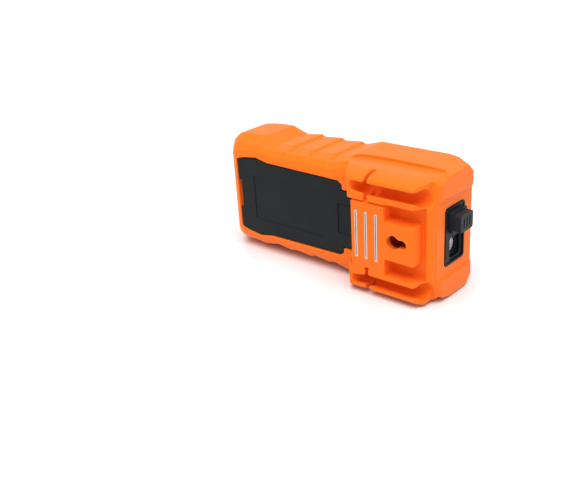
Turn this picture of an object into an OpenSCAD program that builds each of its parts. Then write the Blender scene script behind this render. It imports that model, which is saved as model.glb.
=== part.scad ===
// Handheld component tester: an orange rubber boot with probe holders round a
// hard inner case. The tester lies on one long side. X runs from the jack end
// to the top end, Y from the back to the display, Z across the width.

/* [Boot] */
// Length of the boot between its two end faces
boot_len = 203; // [201:1:210]
// Width of the boot at its head and at its foot
head_w = 94; // [92:1:98]
// Width of the waist in the valleys between its grip ribs
waist_w = 85; // [84:1:88]
// Thickness of the boot away from the head
body_t = 52; // [51:1:56]
// Height of the head above the back of the boot
head_rise = 15; // [14:1:17]
// Thickness of the boot's side walls
boot_wall = 3.8; // [3:0.2:4.2]
// Thickness of the boot's rounded foot end
foot_cap = 12; // [11.5:0.5:13]
// Width of the front lip that holds the case in the boot
lip_w = 6.6; // [5:0.2:8]
// Height of the corner bumpers above the top end face
bumper_rise = 1.7; // [1:0.1:2.5]

/* [Grip ribs] */
// Number of grip ribs on each side of the waist
rib_count = 3; // [2:1:3]
// Distance between grip ribs
rib_pitch = 20; // [18:0.5:21]
// Height of a grip rib
rib_rise = 1.7; // [1:0.1:2]

/* [Probe holders] */
// Radius of the channel that takes a probe's handle
probe_r = 7.4; // [6.5:0.1:7.6]
// Thickness of the lips over a probe channel
holder_lip = 1.5; // [1.2:0.1:2.5]
// Distance of a probe channel from the middle plane
holder_z = 34.5; // [34:0.25:35]
// Width of the slot that a probe is pressed in through
probe_slot = 7.5; // [6:0.5:9]
// Width of the flex cut across a probe holder
flex_cut = 2.4; // [1.5:0.1:3]

/* [Back panel] */
// Number of magnet bars
magnet_count = 3; // [2:1:3]
// Distance between magnet bars
magnet_pitch = 8.6; // [7:0.1:9]
// Length of a magnet bar
magnet_len = 36; // [30:1:42]
// Width of a magnet bar
magnet_w = 2.4; // [2:0.1:4]
// Radius of the keyhole's round opening
keyhole_r = 5.2; // [4.5:0.1:5.6]
// Half the width of the keyhole's slot
keyslot_r = 3.1; // [2.4:0.1:3.2]
// Thickness of the plate that the keyhole goes through
keyhole_t = 5.5; // [4:0.5:6]

/* [Kickstand] */
// Thickness of the kickstand
stand_t = 3; // [2.4:0.1:3.2]
// Half the width of the kickstand beside its hinge
stand_hw = 29; // [27:0.5:30]
// Gap between the kickstand and the boot round it
stand_gap = 0.8; // [0.5:0.1:1]
// Radius of the hinge pins
pin_r = 1.5; // [1.2:0.1:1.6]
// Running clearance of the hinge pins
pin_clear = 0.05; // [0.03:0.01:0.08]

/* [Inner case] */
// Wall thickness of the inner case
case_wall = 2.2; // [1.8:0.1:2.6]
// Thickness of the face plate on the front case
overlay_t = 0.6; // [0.4:0.1:1]
// Height of the parting plane above the middle of the thickness
parting_y = 4; // [3:0.5:5]
// Radius of the case screws
case_screw_r = 1.5; // [1.2:0.1:1.6]

/* [Display] */
// Length of the display opening along the tester
display_l = 56; // [48:1:58]
// Distance from the boot's flat side to the display opening
display_margin = 14; // [13.5:0.5:19]
// Thickness of the display window
window_t = 1.8; // [1.5:0.1:2]

/* [Keys] */
// Number of keys in a row
key_cols = 3; // [3:1:3]
// Distance between the keys in a row
key_pitch_z = 24; // [20:1:24]
// Distance between the two rows of keys
key_pitch_x = 11; // [10.5:0.5:11.5]
// Length of a key cap across the tester
key_w = 15; // [12:1:16]
// Height of a key cap along the tester
key_h = 7; // [6:0.5:7.5]
// Height of a key above the face plate
key_rise = 1.2; // [1.1:0.1:1.6]
// Travel of a key
key_travel = 1; // [0.6:0.1:1]
// Gap round a key in its hole
key_gap = 0.3; // [0.25:0.05:0.4]

/* [Selector] */
// Radius of the selector knob
knob_r = 21; // [18:0.5:21.5]
// Height of the knob above the floor of its dish
knob_h = 7; // [5:0.5:7.5]
// Radius of the knob's shaft
shaft_r = 5; // [4:0.5:6]
// Running clearance of the knob's shaft
shaft_clear = 0.05; // [0.03:0.01:0.08]
// Depth of the dish that the knob sits in
dish_depth = 4; // [3:0.5:4.5]

/* [Input jacks] */
// Number of input jacks
jack_count = 4; // [4:1:4]
// Distance between input jacks
jack_pitch = 19; // [18:0.5:19.5]
// Radius of a jack's contact bore
jack_bore_r = 2; // [1.9:0.05:2.1]
// Outer radius of a jack's contact sleeve
jack_sleeve_r = 3; // [2.8:0.1:3.2]
// Radius of the well round a jack's sleeve
jack_well_r = 5.3; // [5:0.1:5.6]
// Length of a jack's contact bore
jack_bore_l = 19; // [16:0.5:20]

/* [Batteries] */
// Radius of a battery cell
cell_r = 7.1; // [7:0.05:7.25]
// Length of a battery cell
cell_l = 49.8; // [49:0.1:50.5]

/* [Top end] */
// Size of the dark end bezel across the width
bezel_w = 43; // [40:1:44]
// Size of the dark end bezel across the thickness
bezel_t = 25; // [23:0.5:26]
// Height of the sensor nose above the end face
nose_rise = 8.5; // [6:0.5:12]
// Radius of the torch reflector's mouth
torch_r = 4.2; // [3.8:0.1:5]

/* [Hidden] */
$fn = 48;

// colours
orange = [1, 0.45, 0.13];
slate = [0.13, 0.15, 0.16];
steel = [0.75, 0.76, 0.78];
brass_c = [0.8, 0.62, 0.3];

// levels through the thickness: Y is 0 in the middle of the boot
back_y = -body_t / 2;
front_y = body_t / 2;
head_y = back_y - head_rise;
stand_y = back_y + 0.7;                  // outer face of the kickstand
ledge_y = stand_y + stand_t + 0.3;       // ledge that the kickstand rests on
case_back_y = ledge_y + 2.5;             // back of the inner case
case_front_y = front_y - 4;              // front of the inner case
inner_back_y = case_back_y + case_wall;
inner_front_y = case_front_y - case_wall;

// places along the length
foot_x = -boot_len / 2;
top_x = boot_len / 2;
bumper_x = top_x + bumper_rise;
nose_x = top_x + nose_rise;
half_w = head_w / 2;
display_w = head_w - 2 * display_margin;
waist_hw = waist_w / 2;
foot_flat_x = foot_x + 35;               // the foot's flat side ends here
waist_x = foot_x + 50;                   // the waist starts here
rib_x = foot_x + 67;                     // first valley between the ribs
head_ramp_x = top_x - 96;                // the ramp up to the head starts here
head_flat_x = top_x - 79;                // the head's flat side starts here
corner_x = top_x - 21;                   // the head's end chamfer starts here

// the head
holder_x = top_x - 64;                   // foot end of the probe holders
panel_x = top_x - 61.4;                  // foot end of the magnet panel
panel_hw = 24;
block_x = panel_x + 28;                  // the keyhole block
block_end_x = block_x + 24.1;
block_hw = 14.3;
rim_x = top_x - 4.3;                     // inner edge of the end rim
pocket_y = back_y - 3;                   // floor of the pockets by the block
holder_y = head_y + probe_r + holder_lip; // middle of a probe channel
flange_x = top_x - 9;                    // middle of a holder's round end
flex_x = panel_x + 12.4;
keyhole_x = block_x + 7.2;
keyslot_x = keyhole_x + 7.9;

// the kickstand
hinge_x = panel_x - 7.6;
hinge_y = stand_y + 2.5;
barrel_r = 2.5;
tab_hw = 11.4;                           // half width of the hinge block
arm_hw = 22.5;                           // half width over the stand's arms
tab_x = hinge_x - 16;                    // left edge of the hinge block
stand_end_x = foot_x + 16;               // free end of the kickstand
stand_edge_x = hinge_x - 12.5;           // edge where the arms start

// the parts on the front
case_x0 = foot_x + foot_cap;
case_x1 = top_x - boot_wall;
display_x = top_x - 46;                  // middle of the display
lens_lip = 2.5;
key_x = display_x - display_l / 2 - 10.5;
knob_x = foot_x + 74.5;
dish_y = case_front_y - dish_depth;
dish_r = knob_r + 1.5;
jack_x = foot_x + 28;
board_y = inner_front_y - 11.8;          // back of the circuit board
board_t = 1.6;
board_x0 = foot_x + 37;                  // foot end of the circuit board
board_top_y = board_y + board_t;
post_r = 4;
head_post = [case_x1 - 6, 26];
foot_post = [foot_x + 40, 20.5];

// the battery box
cell_gap = 0.5;
box_x0 = foot_x + 42.5;
box_l = cell_l + 7.2;
box_hw = 2 * cell_r + 1.2;
cell_y = inner_back_y + cell_r + 0.4;
box_y = cell_y + cell_r + 0.4;           // ceiling of the battery box
box_wall = 1.8;
cell_x = box_x0 + 5 + cell_l / 2;
door_screw_x = box_x0 + box_l + 5;
hook_l = 2.2;                            // reach of the door's hooks
plate_hh = cell_r - 2.1;                 // half height of a battery plate

// the top end
bezel_y = -3;
torch_z = -10.6;
torch_y = -1.2;
recess_y = -0.5;                         // middle of the torch's recess
torch_x = case_x1 - 9;                   // back of the torch reflector
nose_z = 10;
nose_y = -1;
nose_w = 13;
nose_t = 16;

// ---------------------------------------------------------------- helpers

// Extrudes a profile drawn in X and Z between two heights in Y.
module along_y(y0, y1) {
    translate([0, y1, 0]) rotate([90, 0, 0]) linear_extrude(y1 - y0) children();
}

// Extrudes a profile drawn in Y and Z between two places in X.
module along_x(x0, x1) {
    translate([x0, 0, 0]) rotate([90, 0, 90]) linear_extrude(x1 - x0) children();
}

// Extrudes a profile drawn in X and Y between two heights in Z.
module along_z(z0, z1) {
    translate([0, 0, z0]) linear_extrude(z1 - z0) children();
}

module rod_y(x, z, r, y0, y1) {
    along_y(y0, y1) translate([x, z]) circle(r);
}

module rod_x(y, z, r, x0, x1) {
    along_x(x0, x1) translate([y, z]) circle(r);
}

// Rectangle with round corners, centred.
module round_rect(a, b, r) {
    square([a - 2 * r, b], center = true);
    square([a, b - 2 * r], center = true);
    for (i = [-1, 1], j = [-1, 1])
        translate([i * (a / 2 - r), j * (b / 2 - r)]) circle(r);
}

module block(x0, x1, y0, y1, z0, z1) {
    translate([x0, y0, z0]) cube([x1 - x0, y1 - y0, z1 - z0]);
}

// Repeats a piece on both long sides.
module both_sides() {
    children();
    mirror([0, 0, 1]) children();
}

// Closed skin through a list of rings with the same number of points.
module loft(rings) {
    n = len(rings[0]);
    m = len(rings);
    points = [for (r = rings) each r];
    sides = [for (i = [0 : m - 2], j = [0 : n - 1]) each
             let (a = i * n + j, b = i * n + (j + 1) % n)
             [[a, b, b + n], [a, b + n, a + n]]];
    ends = [[for (j = [n - 1 : -1 : 0]) j], [for (j = [0 : n - 1]) (m - 1) * n + j]];
    polyhedron(points, concat(sides, ends));
}

// Ring of the tester's eight-sided section, from one half of it.
function ring(x, half) = concat(
    [for (p = half) [x, p[0], p[1]]],
    [for (i = [len(half) - 1 : -1 : 0]) [x, half[i][0], -half[i][1]]]);

// Pieces are drawn round the middle of the boot and set on their long side.
module placed() {
    translate([-(foot_x + nose_x) / 2, -(head_y + front_y) / 2, half_w]) children();
}

// -------------------------------------------------------- the boot's form

// Half width of the sides along the length, with the grip ribs.
rib_steps = [for (i = [0 : rib_count - 1]) each
             [[rib_x + i * rib_pitch - 1.5, waist_hw + rib_rise],
              [rib_x + i * rib_pitch + 1, waist_hw]]];
side_line = concat(
    [[foot_x, half_w - 14], [foot_x + 1, half_w - 7.5], [foot_x + 3, half_w - 3.8],
     [foot_x + 6, half_w - 1.8], [foot_x + 10, half_w - 0.8], [foot_x + 15, half_w - 0.4],
     [foot_x + 27, half_w], [foot_flat_x, half_w], [waist_x, waist_hw - 0.4]],
    rib_steps,
    [[head_flat_x, half_w], [corner_x, half_w], [bumper_x, half_w - 1.2]]);

// The same line without ribs, for what lies inside the boot.
core_line = [[foot_x, half_w - 2], [foot_flat_x, half_w - 1], [waist_x, waist_hw - 0.4],
             [head_ramp_x, waist_hw - 0.4], [head_flat_x, half_w - 1],
             [corner_x, half_w - 1], [bumper_x, half_w - 5]];

// Screw posts of the circuit board, close to the case's side walls.
board_posts = [for (x = [foot_x + 50.5, key_x + 1])
               [x, lookup(x, core_line) - boot_wall - case_wall - 3]];

// Half width of the flat back.
back_line = [[foot_x, 26], [foot_x + 1, 30], [foot_x + 3, 31.5], [foot_x + 6, 32],
             [foot_x + 15, 31], [foot_x + 27, 31.5], [foot_flat_x, 32.5], [waist_x, 31.8],
             [head_ramp_x, 31.5], [head_flat_x, 33], [bumper_x, 33]];

// Height of the back, which rounds towards the foot.
back_rise_line = [[foot_x, back_y + 16], [foot_x + 1, back_y + 12.5],
                  [foot_x + 3, back_y + 9.7], [foot_x + 6, back_y + 6],
                  [foot_x + 10, back_y + 2], [foot_x + 15, back_y], [bumper_x, back_y]];

// Height where the back chamfer meets the flat side.
chamfer_line = [[foot_x, -6], [foot_x + 3, -8], [foot_x + 10, -10], [foot_x + 15, -10.5],
                [foot_x + 27, -9.5], [waist_x, -9.5], [head_ramp_x, -11],
                [head_flat_x, -10], [corner_x, -6], [bumper_x, -10]];

// How round the back chamfer is: 0.33 is flat.
round_line = [[foot_x, 0.5], [foot_x + 3, 0.42], [foot_x + 10, 0.34], [foot_x + 27, 0.34],
              [waist_x, 0.42], [bumper_x, 0.42]];

// Height of the front edge, lower towards both ends.
front_line = [[foot_x, front_y - 14], [foot_x + 1, front_y - 9.5], [foot_x + 3, front_y - 6],
              [foot_x + 6, front_y - 4.5], [foot_x + 15, front_y - 2],
              [foot_x + 27, front_y], [top_x - 12, front_y], [top_x - 5, front_y - 2],
              [bumper_x, front_y - 7.5]];

// Size of the chamfer between the sides and the front.
edge_line = [[corner_x, 2], [top_x - 12, 4], [top_x - 5, 7], [bumper_x, 6]];

function stations() = concat(
    [for (p = side_line) if (p[0] <= waist_x) p[0]],
    [for (s = rib_steps) s[0]],
    [head_flat_x, corner_x, top_x - 12, top_x - 5, bumper_x]);

// Half of the section: back, rounded chamfer, flat side and front edge.
function boot_half(x) = let (
        w = lookup(x, side_line), f = lookup(x, front_line), k = lookup(x, round_line),
        e = lookup(x, edge_line),
        b = [lookup(x, back_rise_line), lookup(x, back_line)],
        c = [lookup(x, chamfer_line), w])
    [b, [b[0] + 0.1 * (c[0] - b[0]), b[1] + k * (c[1] - b[1])],
     [b[0] + 0.36 * (c[0] - b[0]), b[1] + 1.9 * k * (c[1] - b[1])],
     c, [f - e, w], [f, w - e]];

module boot_body() {
    loft([for (x = stations()) ring(x, boot_half(x))]);
}

// Form of the inner case, grown or shrunk by a wall of thickness t.
function case_half(x, t) = let (
        w = lookup(x, core_line) - boot_wall - t,
        b = lookup(x, back_line) - 1.5 - 0.6 * t,
        f = min(case_front_y, lookup(x, front_line) - 4) - t)
    [[case_back_y + t, b], [case_back_y + 12 + 0.6 * t, w], [f - 1, w], [f, w - 1]];

function case_stations(t) = [case_x0 + t, foot_flat_x, waist_x, head_ramp_x,
                             head_flat_x, corner_x, top_x - 12, top_x - 8.5, case_x1 - t];

module case_form(t) {
    loft([for (x = case_stations(t)) ring(x, case_half(x, t))]);
}

// Outline of the front opening in the boot.
module front_opening() {
    polygon([for (s = [1, -1], x = s > 0 ? case_stations(3) : reversed(case_stations(3)))
             [x, s * (lookup(x, core_line) - lip_w)]]);
}

function reversed(v) = [for (i = [len(v) - 1 : -1 : 0]) v[i]];

// ------------------------------------------------------------------- boot

// Solid of the head: the raised panel and one probe holder on each side.
module head_form() {
    intersection() {
        union() {
            block(panel_x, top_x, head_y, case_back_y, -holder_z, holder_z);
            both_sides() along_x(holder_x - 7, top_x) holder_section();
        }
        head_profile();
        along_y(head_y, front_y)
            polygon([[holder_x - 7, half_w], [top_x - 13, half_w], [top_x - 3, half_w - 3],
                     [top_x, half_w - 5.5], [top_x, 5.5 - half_w], [top_x - 3, 3 - half_w],
                     [top_x - 13, -half_w], [holder_x - 7, -half_w]]);
    }
}

// Section of a probe holder and of the side below it.
module holder_section() {
    z0 = holder_z - probe_r - 0.5;
    translate([head_y + 6, half_w - 6.3]) circle(6);
    polygon([[head_y, z0], [head_y, half_w - 6.3], [head_y + 6, half_w - 0.3],
             [back_y, half_w - 0.7], [back_y + 2, half_w - 1], [back_y + 8, half_w - 3.2],
             [-13, half_w - 2.6], [-9, half_w - 1], [-9, z0]]);
}

// Side view of the head, with its softened end edge.
module head_profile() {
    along_z(-half_w, half_w)
        polygon([[holder_x, head_y], [top_x - 6.5, head_y], [rim_x - 0.4, head_y + 5],
                 [top_x - 2, head_y + 7.5], [top_x, back_y + 2], [top_x, front_y],
                 [holder_x - 7, front_y], [holder_x - 6.5, back_y], [holder_x - 4, head_y + 8],
                 [holder_x - 2.5, head_y + 3.5]]);
}

// Channel for one probe, with its slot, its round end and its flex cut.
module probe_channel() {
    rod_x(holder_y, holder_z, probe_r, holder_x + 2, flange_x);
    along_y(head_y - 1, holder_y)
        polygon([[holder_x + 1, holder_z - 0.7], [flex_x, holder_z - probe_slot / 2],
                 [flange_x, holder_z - probe_slot / 2], [flange_x, holder_z + probe_slot / 2],
                 [holder_x + 1, holder_z + probe_slot / 2]]);
    rod_y(flange_x, holder_z, probe_r, head_y - 1, holder_y);
    translate([flange_x, holder_y, holder_z]) sphere(probe_r);
    block(flex_x - flex_cut / 2, flex_x + flex_cut / 2, head_y - 1, holder_y - 2,
          panel_hw + 1, half_w);
}

// Pockets on both sides of the keyhole block and behind it.
module head_pockets() {
    difference() {
        block(block_x, rim_x, head_y - 1, pocket_y, -27, 27);
        block(block_x - 1, block_end_x, head_y - 2, pocket_y + 1, -block_hw, block_hw);
        both_sides() rod_y(flange_x, holder_z, probe_r + 4, head_y - 2, pocket_y + 1);
    }
}

module keyhole() {
    rod_y(keyhole_x, 0, keyhole_r, head_y - 1, head_y + keyhole_t + 1);
    rod_y(keyslot_x, 0, keyslot_r, head_y - 1, head_y + keyhole_t + 1);
    block(keyhole_x, keyslot_x, head_y - 1, head_y + keyhole_t + 1, -keyslot_r, keyslot_r);
}

// Hollows behind the keyhole and behind the magnet panel.
module head_hollows() {
    block(block_x - 1, block_end_x - 3, head_y + keyhole_t, case_back_y + 1, -9, 9);
    block(panel_x + 3, block_x - 4, head_y + 7.5, case_back_y + 1, -21, 21);
}

module magnet_places() {
    for (i = [0 : magnet_count - 1])
        translate([panel_x + 4 + i * magnet_pitch, 0, 0]) children();
}

module magnet_slots() {
    magnet_places() along_y(head_y - 1, head_y + 5) round_rect(magnet_w, magnet_len, 0.9);
}

// Outline of the kickstand, grown by a gap g.
module stand_outline(g) {
    half = [[stand_end_x - g, stand_hw - 0.4 + g], [stand_end_x + 6, stand_hw + 1.6 + g],
            [stand_end_x + 20.5, stand_hw + 3.4 + g], [stand_end_x + 32.5, stand_hw + 1.1 + g],
            [stand_edge_x - 3, stand_hw + g], [stand_edge_x + g, stand_hw - 2.6 + g],
            [stand_edge_x + g, arm_hw + g], [hinge_x + barrel_r + g, arm_hw + g]];
    polygon(concat(half, [for (p = reversed(half)) [p[0], -p[1]]]));
}

// Recess for the kickstand and the window through its floor.
module stand_recess() {
    along_y(back_y - 1, ledge_y) stand_outline(stand_gap);
    block(stand_end_x + 7, stand_edge_x - 6, back_y, case_back_y + 1, -23.5, 23.5);
    block(stand_edge_x - 7, panel_x - 1.6, back_y - 1, case_back_y + 1, -arm_hw - stand_gap,
          arm_hw + stand_gap);
}

module end_window(g) {
    along_x(case_x1 - 1, bumper_x + 1)
        translate([bezel_y, 0]) round_rect(bezel_t + 2 * g, bezel_w + 2 * g, 2.5);
}

// The end face lies lower than the bumpers at its corners.
module end_face_cut() {
    along_y(head_y, front_y + 1)
        polygon([[top_x, 19 - half_w], [bumper_x + 1, 17.5 - half_w - bumper_rise],
                 [bumper_x + 1, half_w - 17.5 + bumper_rise], [top_x, half_w - 19]]);
}

module protective_boot() {
    color(orange) difference() {
        union() {
            boot_body();
            head_form();
        }
        case_form(-0.1);
        along_y(case_front_y - 3, front_y + 1) front_opening();
        both_sides() probe_channel();
        head_pockets();
        head_hollows();
        keyhole();
        magnet_slots();
        stand_recess();
        end_face_cut();
        end_window(0.15);
    }
}

module magnet_bars() {
    color(steel) magnet_places()
        along_y(head_y + 0.2, head_y + 5) round_rect(magnet_w, magnet_len, 0.9);
}

// -------------------------------------------------------------- kickstand

module kickstand() {
    color(slate) difference() {
        union() {
            along_y(stand_y, stand_y + stand_t) difference() {
                stand_outline(0);
                translate([stand_end_x, 0]) square([5, 24], center = true);
                translate([tab_x - 0.6, -tab_hw - 0.4])
                    square([2 * barrel_r + 20, 2 * tab_hw + 0.8]);
                translate([hinge_x, -arm_hw - 1]) square([9, 2 * arm_hw + 2]);
            }
            both_sides() along_z(tab_hw + 0.4, arm_hw)
                translate([hinge_x, hinge_y]) circle(barrel_r);
        }
        // shallow panel on the outer face
        along_y(stand_y - 1, stand_y + 0.5)
            translate([stand_end_x + 52.5, 0]) round_rect(72, 38, 2);
        // thinned inner face with a frame left round it
        along_y(stand_y + stand_t - 0.8, stand_y + stand_t + 1)
            translate([stand_end_x + 48, 0]) round_rect(76, 50, 3);
        both_sides() along_z(tab_hw - 1, arm_hw - 2)
            translate([hinge_x, hinge_y]) circle(pin_r + pin_clear);
    }
}

module kickstand_pins() {
    color(steel) both_sides() along_z(5, arm_hw - 2.4)
        translate([hinge_x, hinge_y]) circle(pin_r);
}

// ------------------------------------------------------------- inner case

// Square hole for the torch and the nose in the case's end wall.
module torch_hole() {
    rod_x(torch_y, torch_z, torch_r + 1.8, case_x1 - case_wall - 2, case_x1 + 1);
    block(case_x1 - case_wall - 1, case_x1 + 1, nose_y - 3, nose_y + 3, nose_z - 3, nose_z + 3);
}

module case_posts(y0, y1, r) {
    for (p = [head_post, foot_post]) both_sides() rod_y(p[0], p[1], r, y0, y1);
}

// Outline of the opening that the battery door closes.
module door_outline(g) {
    translate([box_x0 + box_l / 2, 0]) round_rect(box_l + 2 * g, 2 * box_hw + 2 * g, 2);
    translate([box_x0 + box_l + 3.5, 0]) round_rect(11 + 2 * g, 20 + 2 * g, 2);
}

module rear_case() {
    color(slate) difference() {
        union() {
            intersection() {
                difference() {
                    case_form(0);
                    case_form(case_wall);
                }
                block(foot_x, top_x, case_back_y - 1, parting_y, -half_w, half_w);
            }
            // battery box
            block(box_x0 - box_wall, box_x0 + box_l + box_wall, case_back_y + 0.5,
                  box_y + box_wall, -box_hw - box_wall, box_hw + box_wall);
            // seat of the battery door's screw
            rod_y(door_screw_x, 0, 4.5, case_back_y + 0.5, case_back_y + 9);
            // posts of the case screws
            intersection() {
                case_posts(case_back_y, parting_y, post_r);
                case_form(0);
            }
            // hinge block of the kickstand
            difference() {
                block(tab_x, hinge_x + barrel_r + 1, stand_y + 0.2, case_back_y + 0.5,
                      -tab_hw, tab_hw);
                both_sides() along_z(4.9, tab_hw + 1)
                    translate([hinge_x, hinge_y]) circle(pin_r + 0.02);
            }
        }
        // inside of the battery box
        block(box_x0, box_x0 + box_l, case_back_y - 1, box_y, -box_hw, box_hw);
        along_y(case_back_y - 1, case_back_y + 2) door_outline(0.2);
        both_sides() block(box_x0 - hook_l - 0.5, box_x0 + 1, case_back_y + case_wall,
                           case_back_y + case_wall + 1.5, 5.7, 12.3);
        rod_y(door_screw_x, 0, 1, case_back_y, case_back_y + 8);
        case_posts(case_back_y - 1, case_back_y + 8, case_screw_r + 1.8);
        case_posts(case_back_y, parting_y + 1, case_screw_r + 0.2);
        torch_hole();
    }
}

module front_posts() {
    case_posts(parting_y, inner_front_y + 0.5, post_r);
    for (p = board_posts) both_sides() rod_y(p[0], p[1], 2.6, board_top_y, inner_front_y + 0.5);
}

function jack_z(i) = (i - (jack_count - 1) / 2) * jack_pitch;
jack_top_y = case_front_y - 4;
jack_floor_y = jack_top_y - jack_bore_l;
strap_x = board_x0 + 1.4;                // the sleeves' straps meet the board here

module jack_wells(r, y0, y1) {
    for (i = [0 : jack_count - 1]) rod_y(jack_x, jack_z(i), r, y0, y1);
}

// Place of one key; the first row is next to the display.
function key_place(i) = [key_x - floor(i / key_cols) * key_pitch_x,
                         (i % key_cols - (key_cols - 1) / 2) * key_pitch_z];

module key_holes(g, y0, y1) {
    for (i = [0 : 5]) along_y(y0, y1)
        translate(key_place(i)) round_rect(key_h + 2 * g, key_w + 2 * g, 1.6 + g);
}

module front_case() {
    color(slate) difference() {
        union() {
            intersection() {
                difference() {
                    case_form(0);
                    case_form(case_wall);
                }
                block(foot_x, top_x, parting_y, case_front_y + 1, -half_w, half_w);
            }
            intersection() {
                union() {
                    front_posts();
                    rod_y(knob_x, 0, dish_r + case_wall, dish_y - case_wall, inner_front_y + 0.5);
                }
                case_form(0);
            }
            jack_wells(jack_well_r + 1.6, jack_floor_y - 1.5, inner_front_y + 0.5);
        }
        // dish of the selector
        rod_y(knob_x, 0, dish_r, dish_y, case_front_y + 1);
        rod_y(knob_x, 0, shaft_r + shaft_clear, dish_y - case_wall - 1, dish_y + 1);
        // display opening and the rebate of its window
        along_y(inner_front_y - 1, case_front_y + 1)
            translate([display_x, 0]) round_rect(display_l, display_w, 2);
        along_y(case_front_y - window_t + overlay_t, case_front_y + 1)
            translate([display_x, 0])
            round_rect(display_l + 2 * lens_lip, display_w + 2 * lens_lip, 3);
        key_holes(key_gap, inner_front_y - 1, case_front_y + 1);
        // jacks
        jack_wells(jack_well_r, jack_floor_y, case_front_y + 1);
        jack_wells(jack_sleeve_r + 0.02, jack_floor_y - 2, jack_floor_y + 1);
        // pilot holes of the screws
        case_posts(parting_y - 1, parting_y + 10, case_screw_r);
        for (p = board_posts) both_sides()
            rod_y(p[0], p[1], 1, board_top_y - 1, board_top_y + 7);
        torch_hole();
    }
}

// Screw along Y with its head at the back.
module screw(x, z, r, head_r, y0, head_h, y1) {
    difference() {
        union() {
            rod_y(x, z, head_r, y0, y0 + head_h);
            rod_y(x, z, r, y0, y1);
        }
        block(x - head_r * 0.7, x + head_r * 0.7, y0 - 1, y0 + head_h / 2, z - 0.3, z + 0.3);
        block(x - 0.3, x + 0.3, y0 - 1, y0 + head_h / 2, z - head_r * 0.7, z + head_r * 0.7);
    }
}

module case_screws() {
    color(steel) for (p = [head_post, foot_post]) both_sides()
        screw(p[0], p[1], case_screw_r, case_screw_r + 1.4, case_back_y + 5.8, 2.2,
              parting_y + 9);
}

// -------------------------------------------------------------- batteries

module battery_door() {
    color(slate) difference() {
        union() {
            along_y(case_back_y, case_back_y + 2) door_outline(0);
            // hooks under the edge of the case
            both_sides() block(box_x0 - hook_l, box_x0 + 2, case_back_y + case_wall + 0.1,
                               case_back_y + case_wall + 1.2, 6, 12);
            both_sides() block(box_x0 + 0.4, box_x0 + 2, case_back_y + 1.5,
                               case_back_y + case_wall + 1.2, 6, 12);
        }
        rod_y(door_screw_x, 0, 2.4, case_back_y - 1, case_back_y + 0.9);
        rod_y(door_screw_x, 0, 1.3, case_back_y - 1, case_back_y + 3);
    }
}

module battery_door_screws() {
    color(steel) screw(door_screw_x, 0, 1, 2.2, case_back_y - 0.1, 1, case_back_y + 7);
}

module battery_cells() {
    color([0.25, 0.3, 0.36]) both_sides() difference() {
        union() {
            rod_x(cell_y, cell_r + cell_gap / 2, cell_r, cell_x - cell_l / 2, cell_x + cell_l / 2 - 1);
            rod_x(cell_y, cell_r + cell_gap / 2, 2.7, cell_x, cell_x + cell_l / 2);
        }
    }
}

// Conical coil between a battery and the box wall.
spring_turns = 3;
spring_steps = 12;
spring_wire_r = 0.45;
spring_l = 5 - 0.9 - spring_wire_r - 0.05;

function coil_point(t) = let (r = 4.6 - 2.2 * t, a = 360 * spring_turns * t)
    [spring_l * t, r * cos(a), r * sin(a)];

module coil_spring() {
    n = spring_turns * spring_steps;
    loft([for (i = [0 : n]) let (t = i / n, p = coil_point(t), a = 360 * spring_turns * t)
          [for (k = [0 : 5]) let (b = 60 * k)
           p + spring_wire_r * [sin(b), cos(b) * cos(a), cos(b) * sin(a)]]]);
}

module battery_springs() {
    color(steel) for (s = [-1, 1])
        translate([box_x0 + 0.9, cell_y, s * (cell_r + cell_gap / 2)]) coil_spring();
}

module battery_plates() {
    color(steel) {
        block(box_x0, box_x0 + 0.4, cell_y - plate_hh, cell_y + plate_hh,
              -2 * cell_r, 2 * cell_r);
        both_sides() block(box_x0 + box_l - 0.4, box_x0 + box_l, cell_y - plate_hh,
                           cell_y + plate_hh, 1.5, 2 * cell_r - 1);
        both_sides() rod_x(cell_y, cell_r + cell_gap / 2, 3, cell_x + cell_l / 2,
                           box_x0 + box_l - 0.2);
    }
}

// ------------------------------------------------------ front of the case

module face_plate() {
    color([0.2, 0.21, 0.22]) along_y(case_front_y, case_front_y + overlay_t) difference() {
        offset_opening(0.6);
        translate([display_x, 0])
            round_rect(display_l + 2 * lens_lip + 0.2, display_w + 2 * lens_lip + 0.2, 3);
        translate([knob_x, 0]) circle(dish_r);
        for (i = [0 : 5]) translate(key_place(i))
            round_rect(key_h + 2 * key_gap, key_w + 2 * key_gap, 1.6 + key_gap);
        for (i = [0 : jack_count - 1]) translate([jack_x, jack_z(i)]) circle(jack_well_r);
    }
}

// The front opening shrunk by a gap g.
module offset_opening(g) {
    xs = case_stations(3 + g);
    polygon([for (s = [1, -1], x = s > 0 ? xs : reversed(xs))
             [x, s * (lookup(x, core_line) - lip_w - g)]]);
}

module display_window() {
    color([0.75, 0.85, 0.9, 0.5])
        along_y(case_front_y - window_t + overlay_t, case_front_y + overlay_t)
        translate([display_x, 0])
        round_rect(display_l + 2 * lens_lip - 0.2, display_w + 2 * lens_lip - 0.2, 3);
}

lcd_y = inner_front_y - 0.3;             // front of the display panel

module lcd_panel() {
    color([0.55, 0.6, 0.56]) block(display_x - display_l / 2 - 0.5, display_x + display_l / 2 + 0.5,
        lcd_y - 2.8, lcd_y, -display_w / 2 - 0.5, display_w / 2 + 0.5);
}

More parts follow.
